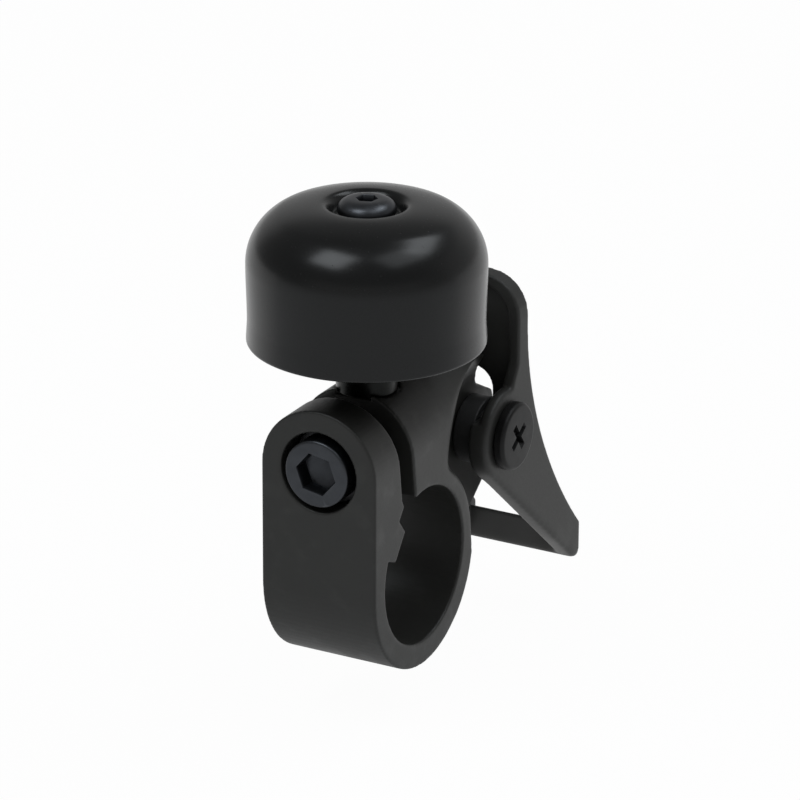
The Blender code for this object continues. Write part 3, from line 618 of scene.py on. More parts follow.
def hexagon(across_flats: float, turn: float) -> Formula:
    """Radius of a hexagon by angle.

    Args:
        across_flats: Its width across flats.
        turn: Angle of a corner in degrees.

    Returns:
        Radius by angle.
    """
    def radius(angles: np.ndarray) -> np.ndarray:
        """Radius at each angle."""
        wedge = (angles - math.radians(turn)) % (math.pi / 3) - math.pi / 6
        return across_flats / 2 / np.cos(wedge)
    return radius


def cross(length: float, width: float, turn: float) -> Formula:
    """Radius of a cross recess by angle.

    Args:
        length: Length of the cross from tip to tip.
        width: Width of an arm.
        turn: Angle of an arm in degrees.

    Returns:
        Radius by angle.
    """
    def radius(angles: np.ndarray) -> np.ndarray:
        """Radius at each angle."""
        wedge = np.abs((angles - math.radians(turn) + math.pi / 4) % (math.pi / 2) - math.pi / 4)
        side = width / 2 / np.maximum(np.sin(wedge), 1e-6)
        return np.minimum(length / 2 / np.cos(wedge), side)
    return radius


def cross_angles(length: float, width: float, turn: float, steps: int) -> np.ndarray:
    """Angles round a ring that fall on the corners of a cross recess.

    Args:
        length: Length of the cross from tip to tip.
        width: Width of an arm.
        turn: Angle of an arm in degrees.
        steps: Number of sides on an arm's end.

    Returns:
        Angles in radians.
    """
    corner = math.atan2(width, length)
    arm = np.linspace(-corner, corner, steps, endpoint=False)
    flank = np.linspace(corner, math.pi / 2 - corner, 2 * steps, endpoint=False)
    quarter = np.concatenate([arm, flank])
    return np.concatenate([quarter + step * math.pi / 2 for step in range(4)]) + math.radians(turn)


def thread(root: float, crest: float, pitch: float, low: float, high: float) -> Rings:
    """Rings of a screw thread that fades out at both ends.

    Args:
        root: Radius at the bottom of the thread.
        crest: Radius at the top of the thread.
        pitch: Way between two turns.
        low: Height at which the thread starts.
        high: Height at which it ends.

    Returns:
        Rings from low to high.
    """
    def at(height: float) -> Formula:
        """Radius by angle at one height."""
        fade = min(1.0, min(height - low, high - height) / pitch)

        def radius(angles: np.ndarray) -> np.ndarray:
            """Radius at each angle."""
            phase = (height / pitch - angles / (2 * math.pi)) % 1.0
            ridge = np.clip(THREAD_TOP - THREAD_SLOPE * np.abs(phase - 0.5), 0.0, 1.0)
            return root + (crest - root) * ridge * fade
        return radius
    count = max(4, round((high - low) / pitch * THREAD_STEPS))
    heights = np.linspace(low, high, count + 1)
    return [(at(height), height) for height in heights.tolist()]


def add_piece(name: str, mesh: bpy.types.Mesh, finish: Finish, sharp: float = 38.0) -> bpy.types.Object:
    """Put a mesh in the scene as a smooth-shaded piece.

    Args:
        name: Name of the piece.
        mesh: Its mesh, in place.
        finish: Its finish.
        sharp: Angle in degrees from which an edge stays sharp.

    Returns:
        The new piece.
    """
    mesh.name = name
    mesh.shade_smooth()
    mesh.set_sharp_from_angle(angle=math.radians(sharp))
    mesh.materials.clear()
    mesh.materials.append(finish.material())
    piece = bpy.data.objects.new(name, mesh)
    bpy.context.scene.collection.objects.link(piece)
    return piece


def turned(
    name: str,
    rings: Sequence[tuple[Radius, float]],
    place: Matrix,
    finish: Finish,
    hollow: bool = False,
    angles: np.ndarray | None = None,
) -> bpy.types.Object:
    """Turn a stack of rings into a piece.

    Args:
        name: Name of the piece.
        rings: Radius, even or by angle, and height of each ring.
        place: Matrix that carries the drawn piece to its place.
        finish: Its finish.
        hollow: Whether the rings close on themselves round a bore.
        angles: Angles of the points of a ring.

    Returns:
        The new piece.
    """
    angles = circle(96) if angles is None else angles
    shape = bmesh.new()
    levels = []
    for radius, height in rings:
        if isinstance(radius, float | int) and radius == 0:
            levels.append([shape.verts.new(place @ Vector((0, 0, height)))])
            continue
        reach = radius(angles) if callable(radius) else np.full(len(angles), radius)
        xs, ys = reach * np.cos(angles), reach * np.sin(angles)
        levels.append([shape.verts.new(place @ Vector((x, y, height))) for x, y in zip(xs, ys)])
    pairs = list(zip(levels, levels[1:] + levels[:1])) if hollow else list(zip(levels, levels[1:]))
    count = len(angles)
    for upper, lower in pairs:
        for step in range(count):
            after = (step + 1) % count
            corners = [upper[step % len(upper)], upper[after % len(upper)]]
            corners += [lower[after % len(lower)], lower[step % len(lower)]]
            shape.faces.new(list(dict.fromkeys(corners)))
    bmesh.ops.recalc_face_normals(shape, faces=shape.faces)
    mesh = bpy.data.meshes.new(name)
    shape.to_mesh(mesh)
    shape.free()
    return add_piece(name, mesh, finish)


def ring_piece(
    name: str,
    bore: float,
    outside: float,
    low: float,
    high: float,
    place: Matrix,
    finish: Finish,
    edge: float = 0.12 * MM,
) -> bpy.types.Object:
    """Washer or tube with rounded edges.

    Args:
        name: Name of the piece.
        bore: Inside radius.
        outside: Outside radius.
        low: Lower end on its axis.
        high: Upper end on its axis.
        place: Matrix that carries the drawn piece to its place.
        finish: Its finish.
        edge: Radius of its edges.

    Returns:
        The new piece.
    """
    loop = [(bore, low), (outside, low), (outside, high), (bore, high)]
    return turned(name, fillet(loop, edge, closed=True), place, finish, hollow=True)


def settle(piece: bpy.types.Object, node: str, body: Body | None) -> bpy.types.Object:
    """Let a piece stand for a node of the frame.

    Args:
        piece: Piece in its place.
        node: Node that it replaces.
        body: Body that it rides on, or nothing for a piece that bends between two bodies.

    Returns:
        The same piece.
    """
    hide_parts(node)
    if body:
        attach(piece, body.value)
    LOG.info("%s stands for %s: %d faces", piece.name, node, len(piece.data.polygons))
    return piece


@dataclass(frozen=True)
class Softening:
    """How a solid's hard edges are rounded as a mould or a casting rounds them."""

    depth: int = 8
    passes: int = 6
    keep: float = 0.6
    swell: float = 0.05 * MM
    weld: float = 0.5 * MICRON
    fill: float = 0.9
    pull: float = 0.5

    def mesh(self, node: str, heavy: Formula | None = None, heavy_passes: int = 0) -> bpy.types.Mesh:
        """Rounded mesh of a node's solid.

        Args:
            node: Node of the frame.
            heavy: Share of the further rounding by place, from 0 to 1.
            heavy_passes: Number of passes of that rounding.

        Returns:
            New mesh in the node's place.
        """
        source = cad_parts[node].data.copy()
        shape = bmesh.new()
        shape.from_mesh(source)
        bmesh.ops.remove_doubles(shape, verts=shape.verts, dist=self.weld)
        shape.to_mesh(source)
        shape.free()
        grid = {"mode": "SHARP", "octree_depth": self.depth, "scale": self.fill}
        fine = self._through(source, "REMESH", **grid)
        points = np.empty(len(fine.vertices) * 3)
        fine.vertices.foreach_get("co", points)
        points = points.reshape(-1, 3)
        pairs = np.empty(len(fine.edges) * 2, dtype=np.int64)
        fine.edges.foreach_get("vertices", pairs)
        pairs = pairs.reshape(-1, 2)
        points = self._relax(points, pairs, np.full(len(points), self.pull), self.passes)
        if heavy:
            points = self._relax(points, pairs, self.pull * heavy(points), heavy_passes)
        fine.vertices.foreach_set("co", points.ravel())
        fine.update()
        normals = np.empty(len(points) * 3)
        fine.vertices.foreach_get("normal", normals)
        fine.vertices.foreach_set("co", points.ravel() + self.swell * normals)
        return self._through(fine, "DECIMATE", ratio=self.keep)

    @staticmethod
    def _relax(points: np.ndarray, pairs: np.ndarray, share: np.ndarray, passes: int) -> np.ndarray:
        """Move each point towards the middle of its neighbours.

        Args:
            points: Points of a mesh.
            pairs: The two ends of each of its edges.
            share: Share of the way that each point moves.
            passes: Number of moves.

        Returns:
            The moved points.
        """
        ends = np.concatenate([pairs[:, 0], pairs[:, 1]])
        others = np.concatenate([pairs[:, 1], pairs[:, 0]])
        count = len(points)
        degree = np.maximum(np.bincount(ends, minlength=count), 1)[:, None]
        for _ in range(passes):
            near = points[others]
            total = [np.bincount(ends, weights=near[:, k], minlength=count) for k in range(3)]
            points = points + share[:, None] * (np.stack(total, axis=1) / degree - points)
        return points

    @staticmethod
    def _through(mesh: bpy.types.Mesh, kind: str, **settings: object) -> bpy.types.Mesh:
        """Mesh as one modifier leaves it.

        Args:
            mesh: Mesh that is used up.
            kind: Blender's name of the modifier's type.
            settings: Properties of the modifier.

        Returns:
            New mesh.
        """
        helper = bpy.data.objects.new("helper", mesh)
        bpy.context.scene.collection.objects.link(helper)
        modifier = helper.modifiers.new(kind, kind)
        for name, value in settings.items():
            setattr(modifier, name, value)
        graph = bpy.context.evaluated_depsgraph_get()
        result = bpy.data.meshes.new_from_object(helper.evaluated_get(graph))
        bpy.data.objects.remove(helper)
        bpy.data.meshes.remove(mesh)
        return result


# Sub-assemblies


@dataclass(frozen=True)
class HexSocket:
    """Hexagon socket in a screw's head, with a chamfered mouth and a drill point."""

    size: float
    turn: float
    depth: float
    flare: float
    chamfer: float
    drill: float
    lip: float
    point: float

    def angles(self, count: int) -> np.ndarray:
        """Angles round a ring that fall on the socket's corners."""
        return circle(count) + math.radians(self.turn)

    def rings(self, face: float, inward: int) -> Rings:
        """Rings of the socket.

        Args:
            face: Height of the head's face.
            inward: 1 where the socket runs up its axis, -1 where it runs down.

        Returns:
            Rings from the face to the drill point.
        """
        sides = hexagon(self.size, self.turn)
        floor = face + inward * self.depth
        rings: Rings = [(lambda a: sides(a) * self.flare, face)]
        rings += [(sides, face + inward * self.chamfer), (sides, floor)]
        return rings + [(self.drill, floor + inward * self.lip), (0, floor + inward * self.point)]


@dataclass
class Clamp:
    """Cast split ring with its neck and lever arm, its screw and the screw's washer."""

    head_face: float = -14.7 * MM
    head_radius: float = 4.75 * MM
    head_height: float = 4.0 * MM
    head_edge: float = 0.45 * MM
    shank: float = 3.0 * MM
    thread_depth: float = 0.5 * MM
    pitch: float = 1.0 * MM
    plain: float = 2.0 * MM
    end: float = 4.7 * MM
    end_edge: float = 0.3 * MM
    face_inner: float = 3.2 * MM
    socket: HexSocket = HexSocket(
        size=5.0 * MM, turn=-50.0, depth=2.4 * MM, flare=1.06, chamfer=0.25 * MM,
        drill=2.1 * MM, lip=0.1 * MM, point=1.0 * MM,
    )
    washer: Tube = (3.3 * MM, 5.45 * MM, -10.4 * MM, -9.6 * MM)
    bore: float = 11.1 * MM

    # Start and fade of the soft run from the ring into the arm
    soft_off_bore: Span = (1.2 * MM, 1.0 * MM)
    soft_behind: Span = (2.5 * MM, 2.5 * MM)
    soft_before: Span = (17.0 * MM, 2.0 * MM)
    soft_above: Span = (-3.0 * MM, 3.0 * MM)
    soft_below: Span = (22.5 * MM, 2.0 * MM)
    soft_passes: int = 50

    coat: Finish = CastCoat("clamp_satin_coat", (0.0172, 0.0172, 0.0156), 0.45, specular=0.36)
    steel: Finish = TurnedMetal(
        "clamp_screw_black_oxide", (0.056, 0.059, 0.065), 0.38, 1.0, axis=Axis.Y, centre=CLAMP_SCREW
    )
    zinc: Finish = TurnedMetal(
        "clamp_washer_black_zinc", (0.05, 0.05, 0.052), 0.35, 1.0, axis=Axis.Y, centre=CLAMP_SCREW
    )

    def build(self) -> None:
        """Make all pieces of the clamp."""
        place = Axis.Y.place(CLAMP_SCREW)
        self.build_casting()
        self.build_screw(place)
        washer = ring_piece("clamp_screw_washer", *self.washer, place, self.zinc)
        settle(washer, "clamp_washer", Body.CLAMP)

    def neck_share(self, points: np.ndarray) -> np.ndarray:
        """Where the ring's end faces run softly into the lever arm.

        Args:
            points: Places on the casting.

        Returns:
            Share of the further rounding at each place.
        """
        _, y, z = points.T
        start, fade = self.soft_off_bore
        away = ramp(np.hypot(y, z) - self.bore - start, fade)
        behind = ramp(y - self.soft_behind[0], self.soft_behind[1])
        before = ramp(self.soft_before[0] - y, self.soft_before[1])
        above = ramp(z - self.soft_above[0], self.soft_above[1])
        level = above * ramp(self.soft_below[0] - z, self.soft_below[1])
        return away * behind * before * level

    def build_casting(self) -> None:
        """Ring, jaw, neck and arm with the soft edges of a casting."""
        soft = Softening(passes=4, swell=0.08 * MM)
        mesh = soft.mesh("clamp_body", self.neck_share, self.soft_passes)
        settle(add_piece("cast_clamp", mesh, self.coat, CAST_SHARP), "clamp_body", Body.CLAMP)

    def build_screw(self, place: Matrix) -> None:
        """Socket cap screw with a hexagon socket and a rolled thread.

        Args:
            place: Matrix that carries the drawn screw to its place.
        """
        under = self.head_face + self.head_height
        root = self.shank - self.thread_depth
        low, high = under + self.plain, self.end - self.end_edge
        head = [(self.shank, under), (self.head_radius, under), (self.head_radius, self.head_face)]
        head += [(self.face_inner, self.head_face)]
        rings: Rings = [(0, self.end), (root - self.end_edge, self.end)]
        rings += reversed(thread(root, self.shank, self.pitch, low, high))
        rings += [(self.shank, low - self.end_edge), *fillet(head, self.head_edge)]
        rings += self.socket.rings(self.head_face, inward=1)
        angles = self.socket.angles(96)
        screw = turned("clamp_cap_screw", rings, place, self.steel, angles=angles)
        settle(screw, "clamp_screw", Body.CLAMP)


@dataclass
class Bell:
    """Dome on its post, with the washer between them and the screw through them."""

    rim_radius: float = 16.2 * MM
    waist: float = 0.18 * MM
    waist_rise: float = 3.0 * MM
    rim_z: float = 31.3 * MM
    crest_z: float = 50.7 * MM
    crest_radius: float = 6.2 * MM
    crown_rise: float = 0.25 * MM
    crown_pull: float = 0.25
    shoulder: float = 8.1 * MM
    shoulder_start: float = 60.0
    inner_turn: Span = (8.0, 60.0)
    wall: float = 1.6 * MM
    inner_top: float = 47.45 * MM
    dimple_radius: float = 4.95 * MM
    dimple_slope: float = 0.5 * MM
    dimple_z: float = 49.05 * MM
    bore: float = 2.3 * MM
    rim_edge: float = 0.5 * MM
    seat_radius: float = 5.2 * MM
    seat_room: float = 1.0 * MM
    post_radius: float = 4.15 * MM
    post_ends: Span = (24.5 * MM, 45.85 * MM)
    seat_ends: Span = (46.15 * MM, 47.15 * MM)
    head_radius: float = 4.0 * MM
    head_ends: Span = (49.35 * MM, 51.45 * MM)
    head_edge: float = 0.35 * MM
    shank: float = 2.0 * MM
    thread_depth: float = 0.35 * MM
    screw_end: float = 21.0 * MM
    thread_top: float = 30.0 * MM
    pitch: float = 0.7 * MM
    socket: HexSocket = HexSocket(
        size=2.5 * MM, turn=20.0, depth=1.2 * MM, flare=1.08, chamfer=0.15 * MM,
        drill=1.0 * MM, lip=0.05 * MM, point=0.5 * MM,
    )

    enamel: Finish = GlossEnamel("bell_gloss_enamel", (0.0055, 0.0058, 0.0058), 0.24, specular=0.29)
    steel: Finish = TurnedMetal(
        "dome_screw_black_oxide", (0.06, 0.063, 0.069), 0.38, 1.0, centre=BELL_AXIS
    )
    plated: Finish = TurnedMetal(
        "bell_post_black_plating", (0.014, 0.0145, 0.014), 0.3, 1.0, centre=BELL_AXIS
    )
    fibre: Finish = PressedFibre("dome_seat_fibre", (0.06, 0.045, 0.035), 0.8)

    def build(self) -> None:
        """Make all pieces of the bell."""
        place = Axis.Z.place(BELL_AXIS)
        shell = fillet(self.outside() + self.inside(), self.rim_edge, closed=True)
        dome = turned("bell_shell", shell, place, self.enamel, True, circle(192))
        settle(dome, "bell_dome", Body.CLAMP)
        post = self.bore, self.post_radius, *self.post_ends
        settle(ring_piece("bell_standoff", *post, place, self.plated), "bell_post", Body.CLAMP)
        seat = self.bore, self.seat_radius, *self.seat_ends
        settle(ring_piece("dome_fibre_seat", *seat, place, self.fibre), "dome_seat_washer", Body.CLAMP)
        self.build_screw(place)

    def outside(self) -> Profile:
        """Outer profile of the dome.

        Returns:
            Points from its screw hole to its rim.
        """
        crest = (self.crest_radius, self.crest_z)
        foot = [(self.dimple_radius - self.dimple_slope, self.dimple_z)]
        foot += [(self.dimple_radius, self.dimple_z)]
        slope = bezier([*foot, (self.dimple_radius, self.crest_z), crest], steps=24)
        low = self.crest_z - self.crown_rise - self.shoulder
        middle = (self.rim_radius - self.shoulder, low)
        turn = arc(middle, self.shoulder, self.shoulder_start, 0, steps=36)
        start = math.radians(self.shoulder_start)
        pull = self.crown_pull * (turn[0][0] - self.crest_radius)
        lead = (turn[0][0] - pull * math.sin(start), turn[0][1] + pull * math.cos(start))
        crown = bezier([crest, (self.crest_radius + pull, self.crest_z), lead, turn[0]], steps=16)
        waist = self.rim_radius - self.waist
        waist_z = self.rim_z + self.waist_rise
        third = (low - waist_z) / 3
        upper = [(self.rim_radius, low), (self.rim_radius, low - third)]
        skirt = bezier([*upper, (waist, waist_z + third), (waist, waist_z)], steps=12)
        points = [(self.bore, self.dimple_z), *slope, *crown[1:], *turn[1:]]
        return points + skirt[1:] + [(self.rim_radius, self.rim_z)]

    def inside(self) -> Profile:
        """Inner profile of the dome.

        Returns:
            Points from its rim back to its screw hole.
        """
        inside = self.rim_radius - self.waist - self.wall
        low = self.crest_z - self.crown_rise - self.shoulder
        corner = self.shoulder - self.wall
        points = [(inside, self.rim_z), (inside, low)]
        points += arc((inside - corner, low), corner, *self.inner_turn, steps=16)
        points += [(self.seat_radius + self.seat_room, self.inner_top)]
        return [*points, (self.bore, self.inner_top)]

    def build_screw(self, place: Matrix) -> None:
        """Button-head screw with a hexagon socket.

        Args:
            place: Matrix that carries the drawn screw to its place.
        """
        under, crown = self.head_ends
        edge = self.head_edge
        root = self.shank - self.thread_depth
        curve = [(self.head_radius, under + edge), (self.head_radius, (crown + under) / 2)]
        curve += [(self.head_radius - edge, crown), (self.socket.size / 2 + edge, crown)]
        rings: Rings = [(0, self.screw_end), (root, self.screw_end)]
        rings += thread(root, self.shank, self.pitch, self.screw_end, self.thread_top)
        rings += [(self.shank, self.thread_top + edge), (self.shank, under)]
        rings += [(self.head_radius - edge / 2, under), *bezier(curve, steps=14)]
        rings += self.socket.rings(crown, inward=-1)
        angles = self.socket.angles(72)
        screw = turned("dome_button_screw", rings, place, self.steel, angles=angles)
        settle(screw, "dome_screw", Body.CLAMP)


@dataclass
class Lever:
    """Moulded thumb lever with its spoon, two cheeks and thumb bar."""

    boss: float = 6.4 * MM
    half_width: float = 9.7 * MM
    edge_slope: float = math.radians(40.3)
    edge_depth: float = 1.6 * MM
    edge_start: float = 1.0 * MM
    edge_run: float = 3.0 * MM
    rim_depth: float = 1.4 * MM
    front_run: float = 2.0 * MM
    fade: float = 0.8 * MM
    soft_passes: int = 24

    plastic: Finish = MouldedPlastic("lever_black_plastic", (0.019, 0.019, 0.0174), 0.52, specular=0.38)

    def edge_share(self, points: np.ndarray) -> np.ndarray:
        """Where the cheeks' lower edges and the outer edges of their bosses are rounded further.

        Args:
            points: Places on the lever.

        Returns:
            Share of the further rounding at each place.
        """
        x, y, z = points.T
        back, up = y - PIVOT[1], z - PIVOT[2]
        level, fall = math.cos(self.edge_slope), math.sin(self.edge_slope)
        along, out = back * level - up * fall, -back * fall - up * level
        near = ramp(out - self.boss + self.edge_depth, self.fade)
        edge = near * ramp(along - self.edge_start, self.edge_run)
        rim = ramp(np.hypot(back, up) - self.boss + self.rim_depth, self.fade)
        outer = ramp(np.abs(x) - self.half_width + self.edge_depth, self.fade)
        front = ramp(PIVOT[1] + self.front_run - y, self.front_run)
        return np.maximum(edge, rim * outer * front)

    def build(self) -> None:
        """Lever with the soft edges of a moulding."""
        soft = Softening(passes=5, swell=0.1 * MM)
        mesh = soft.mesh("trigger_lever", self.edge_share, self.soft_passes)
        lever = add_piece("thumb_lever", mesh, self.plastic, CAST_SHARP)
        settle(lever, "trigger_lever", Body.TRIGGER)


@dataclass
class Pivot:
    """Screw, sleeve, spacer, washer and nut that carry the lever."""

    head_radius: float = 4.8 * MM
    head_ends: Span = (10.0 * MM, 11.5 * MM)
    head_edge: float = 0.6 * MM
    under_edge: float = 0.35 * MM
    shank: float = 2.0 * MM
    thread_depth: float = 0.35 * MM
    end: float = -13.6 * MM
    end_edge: float = 0.2 * MM
    thread_top: float = -4.0 * MM
    pitch: float = 0.7 * MM
    cross_length: float = 4.2 * MM
    cross_width: float = 1.0 * MM
    cross_depth: float = 0.9 * MM
    cross_turn: float = 35.0
    cross_lip: float = 0.12 * MM
    cross_taper: Point = (1.05, 0.98, 0.72)
    cross_point: float = 1.35
    sleeve: Tube = (2.3 * MM, 3.1 * MM, -9.7 * MM, 9.7 * MM)
    spacer: Tube = (3.4 * MM, 4.8 * MM, 3.7 * MM, 6.7 * MM)
    washer: Tube = (2.3 * MM, 4.7 * MM, -10.6 * MM, -10.0 * MM)
    nut_flats: float = 7.0 * MM
    nut_ends: Span = (-13.1 * MM, -10.9 * MM)
    nut_bore: float = 2.3 * MM
    nut_turn: float = 30.0
    nut_face: float = 1.02
    nut_drop: float = 0.35 * MM
    nut_round: float = 0.28 * MM
    nut_sink: float = 0.3 * MM

    zinc: Finish = TurnedMetal(
        "pivot_screw_black_zinc", (0.026, 0.026, 0.026), 0.5, 1.0, axis=Axis.X, centre=PIVOT
    )
    plain: Finish = TurnedMetal(
        "pivot_hardware_zinc", (0.42, 0.42, 0.41), 0.32, 1.0, axis=Axis.X, centre=PIVOT
    )
    nylon: Finish = PressedFibre("pivot_spacer_nylon", (0.02, 0.02, 0.02), 0.55)

    def build(self) -> None:
        """Make all pieces of the pivot."""
        place = Axis.X.place(PIVOT)
        self.build_screw(place)
        sleeve = ring_piece("pivot_steel_sleeve", *self.sleeve, place, self.plain)
        settle(sleeve, "pivot_sleeve", Body.CLAMP)
        spacer = ring_piece("pivot_nylon_spacer", *self.spacer, place, self.nylon, 0.25 * MM)
        settle(spacer, "pivot_spacer", Body.CLAMP)
        settle(ring_piece("pivot_nut_washer", *self.washer, place, self.plain), "nut_washer", Body.CLAMP)
        self.build_nut(place)

    def build_screw(self, place: Matrix) -> None:
        """Flat-head screw with a tapered cross recess.

        Args:
            place: Matrix that carries the drawn screw to its place.
        """
        under, face = self.head_ends
        edge = self.under_edge
        root = self.shank - self.thread_depth
        corner = (self.head_radius - self.head_edge, face - self.head_edge)
        rim = arc(corner, self.head_edge, 0, 90, steps=8)
        recess = cross(self.cross_length, self.cross_width, self.cross_turn)
        mouth, lip, floor = self.cross_taper
        rings: Rings = [(0, self.end), (root - self.end_edge, self.end)]
        rings += thread(root, self.shank, self.pitch, self.end + self.end_edge, self.thread_top)
        rings += [(self.shank, self.thread_top + edge), (self.shank, under)]
        rings += [(self.head_radius - edge / 2, under), (self.head_radius, under + edge / 2), *rim]
        rings += [(lambda a: recess(a) * mouth, face)]
        rings += [(lambda a: recess(a) * lip, face - self.cross_lip)]
        rings += [(lambda a: recess(a) * floor, face - self.cross_depth)]
        rings += [(0, face - self.cross_point * self.cross_depth)]
        angles = cross_angles(self.cross_length, self.cross_width, self.cross_turn, steps=8)
        screw = turned("pivot_cross_screw", rings, place, self.zinc, angles=angles)
        settle(screw, "pivot_screw", Body.CLAMP)

    def build_nut(self, place: Matrix) -> None:
        """Hexagon nut with turned corners and a countersunk bore.

        Args:
            place: Matrix that carries the drawn nut to its place.
        """
        low, high = self.nut_ends
        flats = hexagon(self.nut_flats, self.nut_turn)
        corner = self.nut_flats / 2 * self.nut_face
        drop, sink = self.nut_drop, self.nut_sink

        def turned_down(angles: np.ndarray) -> np.ndarray:
            """Radius half way up the turned corners."""
            return np.minimum(flats(angles), corner + self.nut_round)

        rings: Rings = [(self.nut_bore, low + sink), (self.nut_bore + sink, low), (corner, low)]
        rings += [(turned_down, low + drop / 2), (flats, low + drop), (flats, high - drop)]
        rings += [(turned_down, high - drop / 2), (corner, high)]
        rings += [(self.nut_bore + sink, high), (self.nut_bore, high - sink)]
        angles = circle(72) + math.radians(self.nut_turn)
        nut = turned("pivot_hex_nut", rings, place, self.plain, True, angles)
        settle(nut, "pivot_nut", Body.CLAMP)


@dataclass
class ReturnSpring:
    """Torsion spring round the pivot, hooked into the arm and under a cheek."""

    wire: float = 0.5 * MM
    coil: float = 3.9 * MM
    start_x: float = -3.95 * MM
    pitch: float = 0.92 * MM
    fixed_leg: float = 7.0 * MM
    arm_hook: float = 1.8 * MM
    lean: float = 20.0
    edge_slope: float = 40.3
    boss_gap: float = 6.95 * MM
    cheek_hook: float = 2.4 * MM
    hook_bend: float = 0.7 * MM
    straight: float = 150.0
    step: float = 7.5

    steel: Finish = DrawnSteel("spring_drawn_wire", (0.4, 0.4, 0.39), 0.28, 1.0, stretch=(1.0, 1.0, 1.0))

    def route(self) -> list[Vector]:
        """Middle of the wire: hook in the arm, leg, curls, leg and hook under the cheek.

        Returns:
            Points from the arm to the cheek.
        """
        _, y, z = PIVOT
        foot = z - self.coil
        corners = [Vector((self.start_x + self.arm_hook, y - self.fixed_leg, foot))]
        corners += [Vector((self.start_x, y - self.fixed_leg, foot))]
        sweep = 270.0 - self.edge_slope - self.lean + 90.0 + 360.0
        count = round(sweep / self.step)
        for step in range(count + 1):
            angle = math.radians(-90.0 + sweep * step / count)
            along = self.start_x - self.pitch * sweep / 360.0 * step / count
            round_y, round_z = self.coil * math.cos(angle), self.coil * math.sin(angle)
            corners.append(Vector((along, y + round_y, z + round_z)))
        lean = math.radians(self.lean)
        leg = (self.boss_gap - self.coil * math.cos(lean)) / math.sin(lean)
        along = leg * math.cos(lean) - self.coil * math.sin(lean)
        slope = math.radians(self.edge_slope)
        reach = Vector((0.0, math.cos(slope), -math.sin(slope))) * along
        reach += Vector((0.0, -math.sin(slope), -math.cos(slope))) * self.boss_gap
        end = Vector((corners[-1].x, y, z)) + Vector((0.0, reach.y, reach.z))
        return self.rounded([*corners, end, end - Vector((self.cheek_hook, 0.0, 0.0))])

    def rounded(self, corners: list[Vector]) -> list[Vector]:
        """Route with its sharp hooks bent over a radius.

        Args:
            corners: Points of the route.

        Returns:
            Points of the bent route.
        """
        route = [corners[0]]
        for before, here, after in zip(corners, corners[1:], corners[2:]):
            back, ahead = before - here, after - here
            if back.angle(ahead) > math.radians(self.straight):
                route.append(here)
                continue
            route += bend(here, back, ahead, self.hook_bend, steps=6)
        return [*route, corners[-1]]

    def build(self) -> None:
        """Wire of the torsion spring along its route."""
        route = self.route()
        half = self.wire / 2
        spring = add_piece("return_coil", tube(route, half, sides=14), self.steel)
        settle(spring, "return_spring", None)
        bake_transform(spring)


def tube(route: Sequence[Vector], radius: float, sides: int) -> bpy.types.Mesh:
    """Round wire along a route, closed with domed ends.

    Args:
        route: Points on the middle of the wire.
        radius: Radius of the wire.
        sides: Number of sides round it.

    Returns:
        New mesh.
    """
    shape = bmesh.new()
    ways = [(b - a).normalized() for a, b in zip(route, route[1:])]
    ways = [ways[0], *((a + b).normalized() for a, b in zip(ways, ways[1:])), ways[-1]]
    side = ways[0].orthogonal().normalized()
    cap = [(0.45, 0.55), (0.85, 0.25)]
    stations = [(route[0] - ways[0] * radius * back, ways[0], width) for width, back in cap]
    stations += [(point, way, 1.0) for point, way in zip(route, ways)]
    end, way = route[-1], ways[-1]
    stations += [(end + way * radius * back, way, width) for width, back in reversed(cap)]
    rings = []
    for point, way, width in stations:
        side = (side - way * side.dot(way)).normalized()
        up = way.cross(side)
        ring = []
        for angle in circle(sides).tolist():
            out = side * math.cos(angle) + up * math.sin(angle)
            ring.append(shape.verts.new(point + out * radius * width))
        rings.append(ring)
    for near, far in zip(rings, rings[1:]):
        for step in range(sides):
            after = (step + 1) % sides
            shape.faces.new((near[step], near[after], far[after], far[step]))
    shape.faces.new(list(reversed(rings[0])))
    shape.faces.new(rings[-1])
    bmesh.ops.recalc_face_normals(shape, faces=shape.faces)
    mesh = bpy.data.meshes.new("wire")
    shape.to_mesh(mesh)
    shape.free()
    return mesh


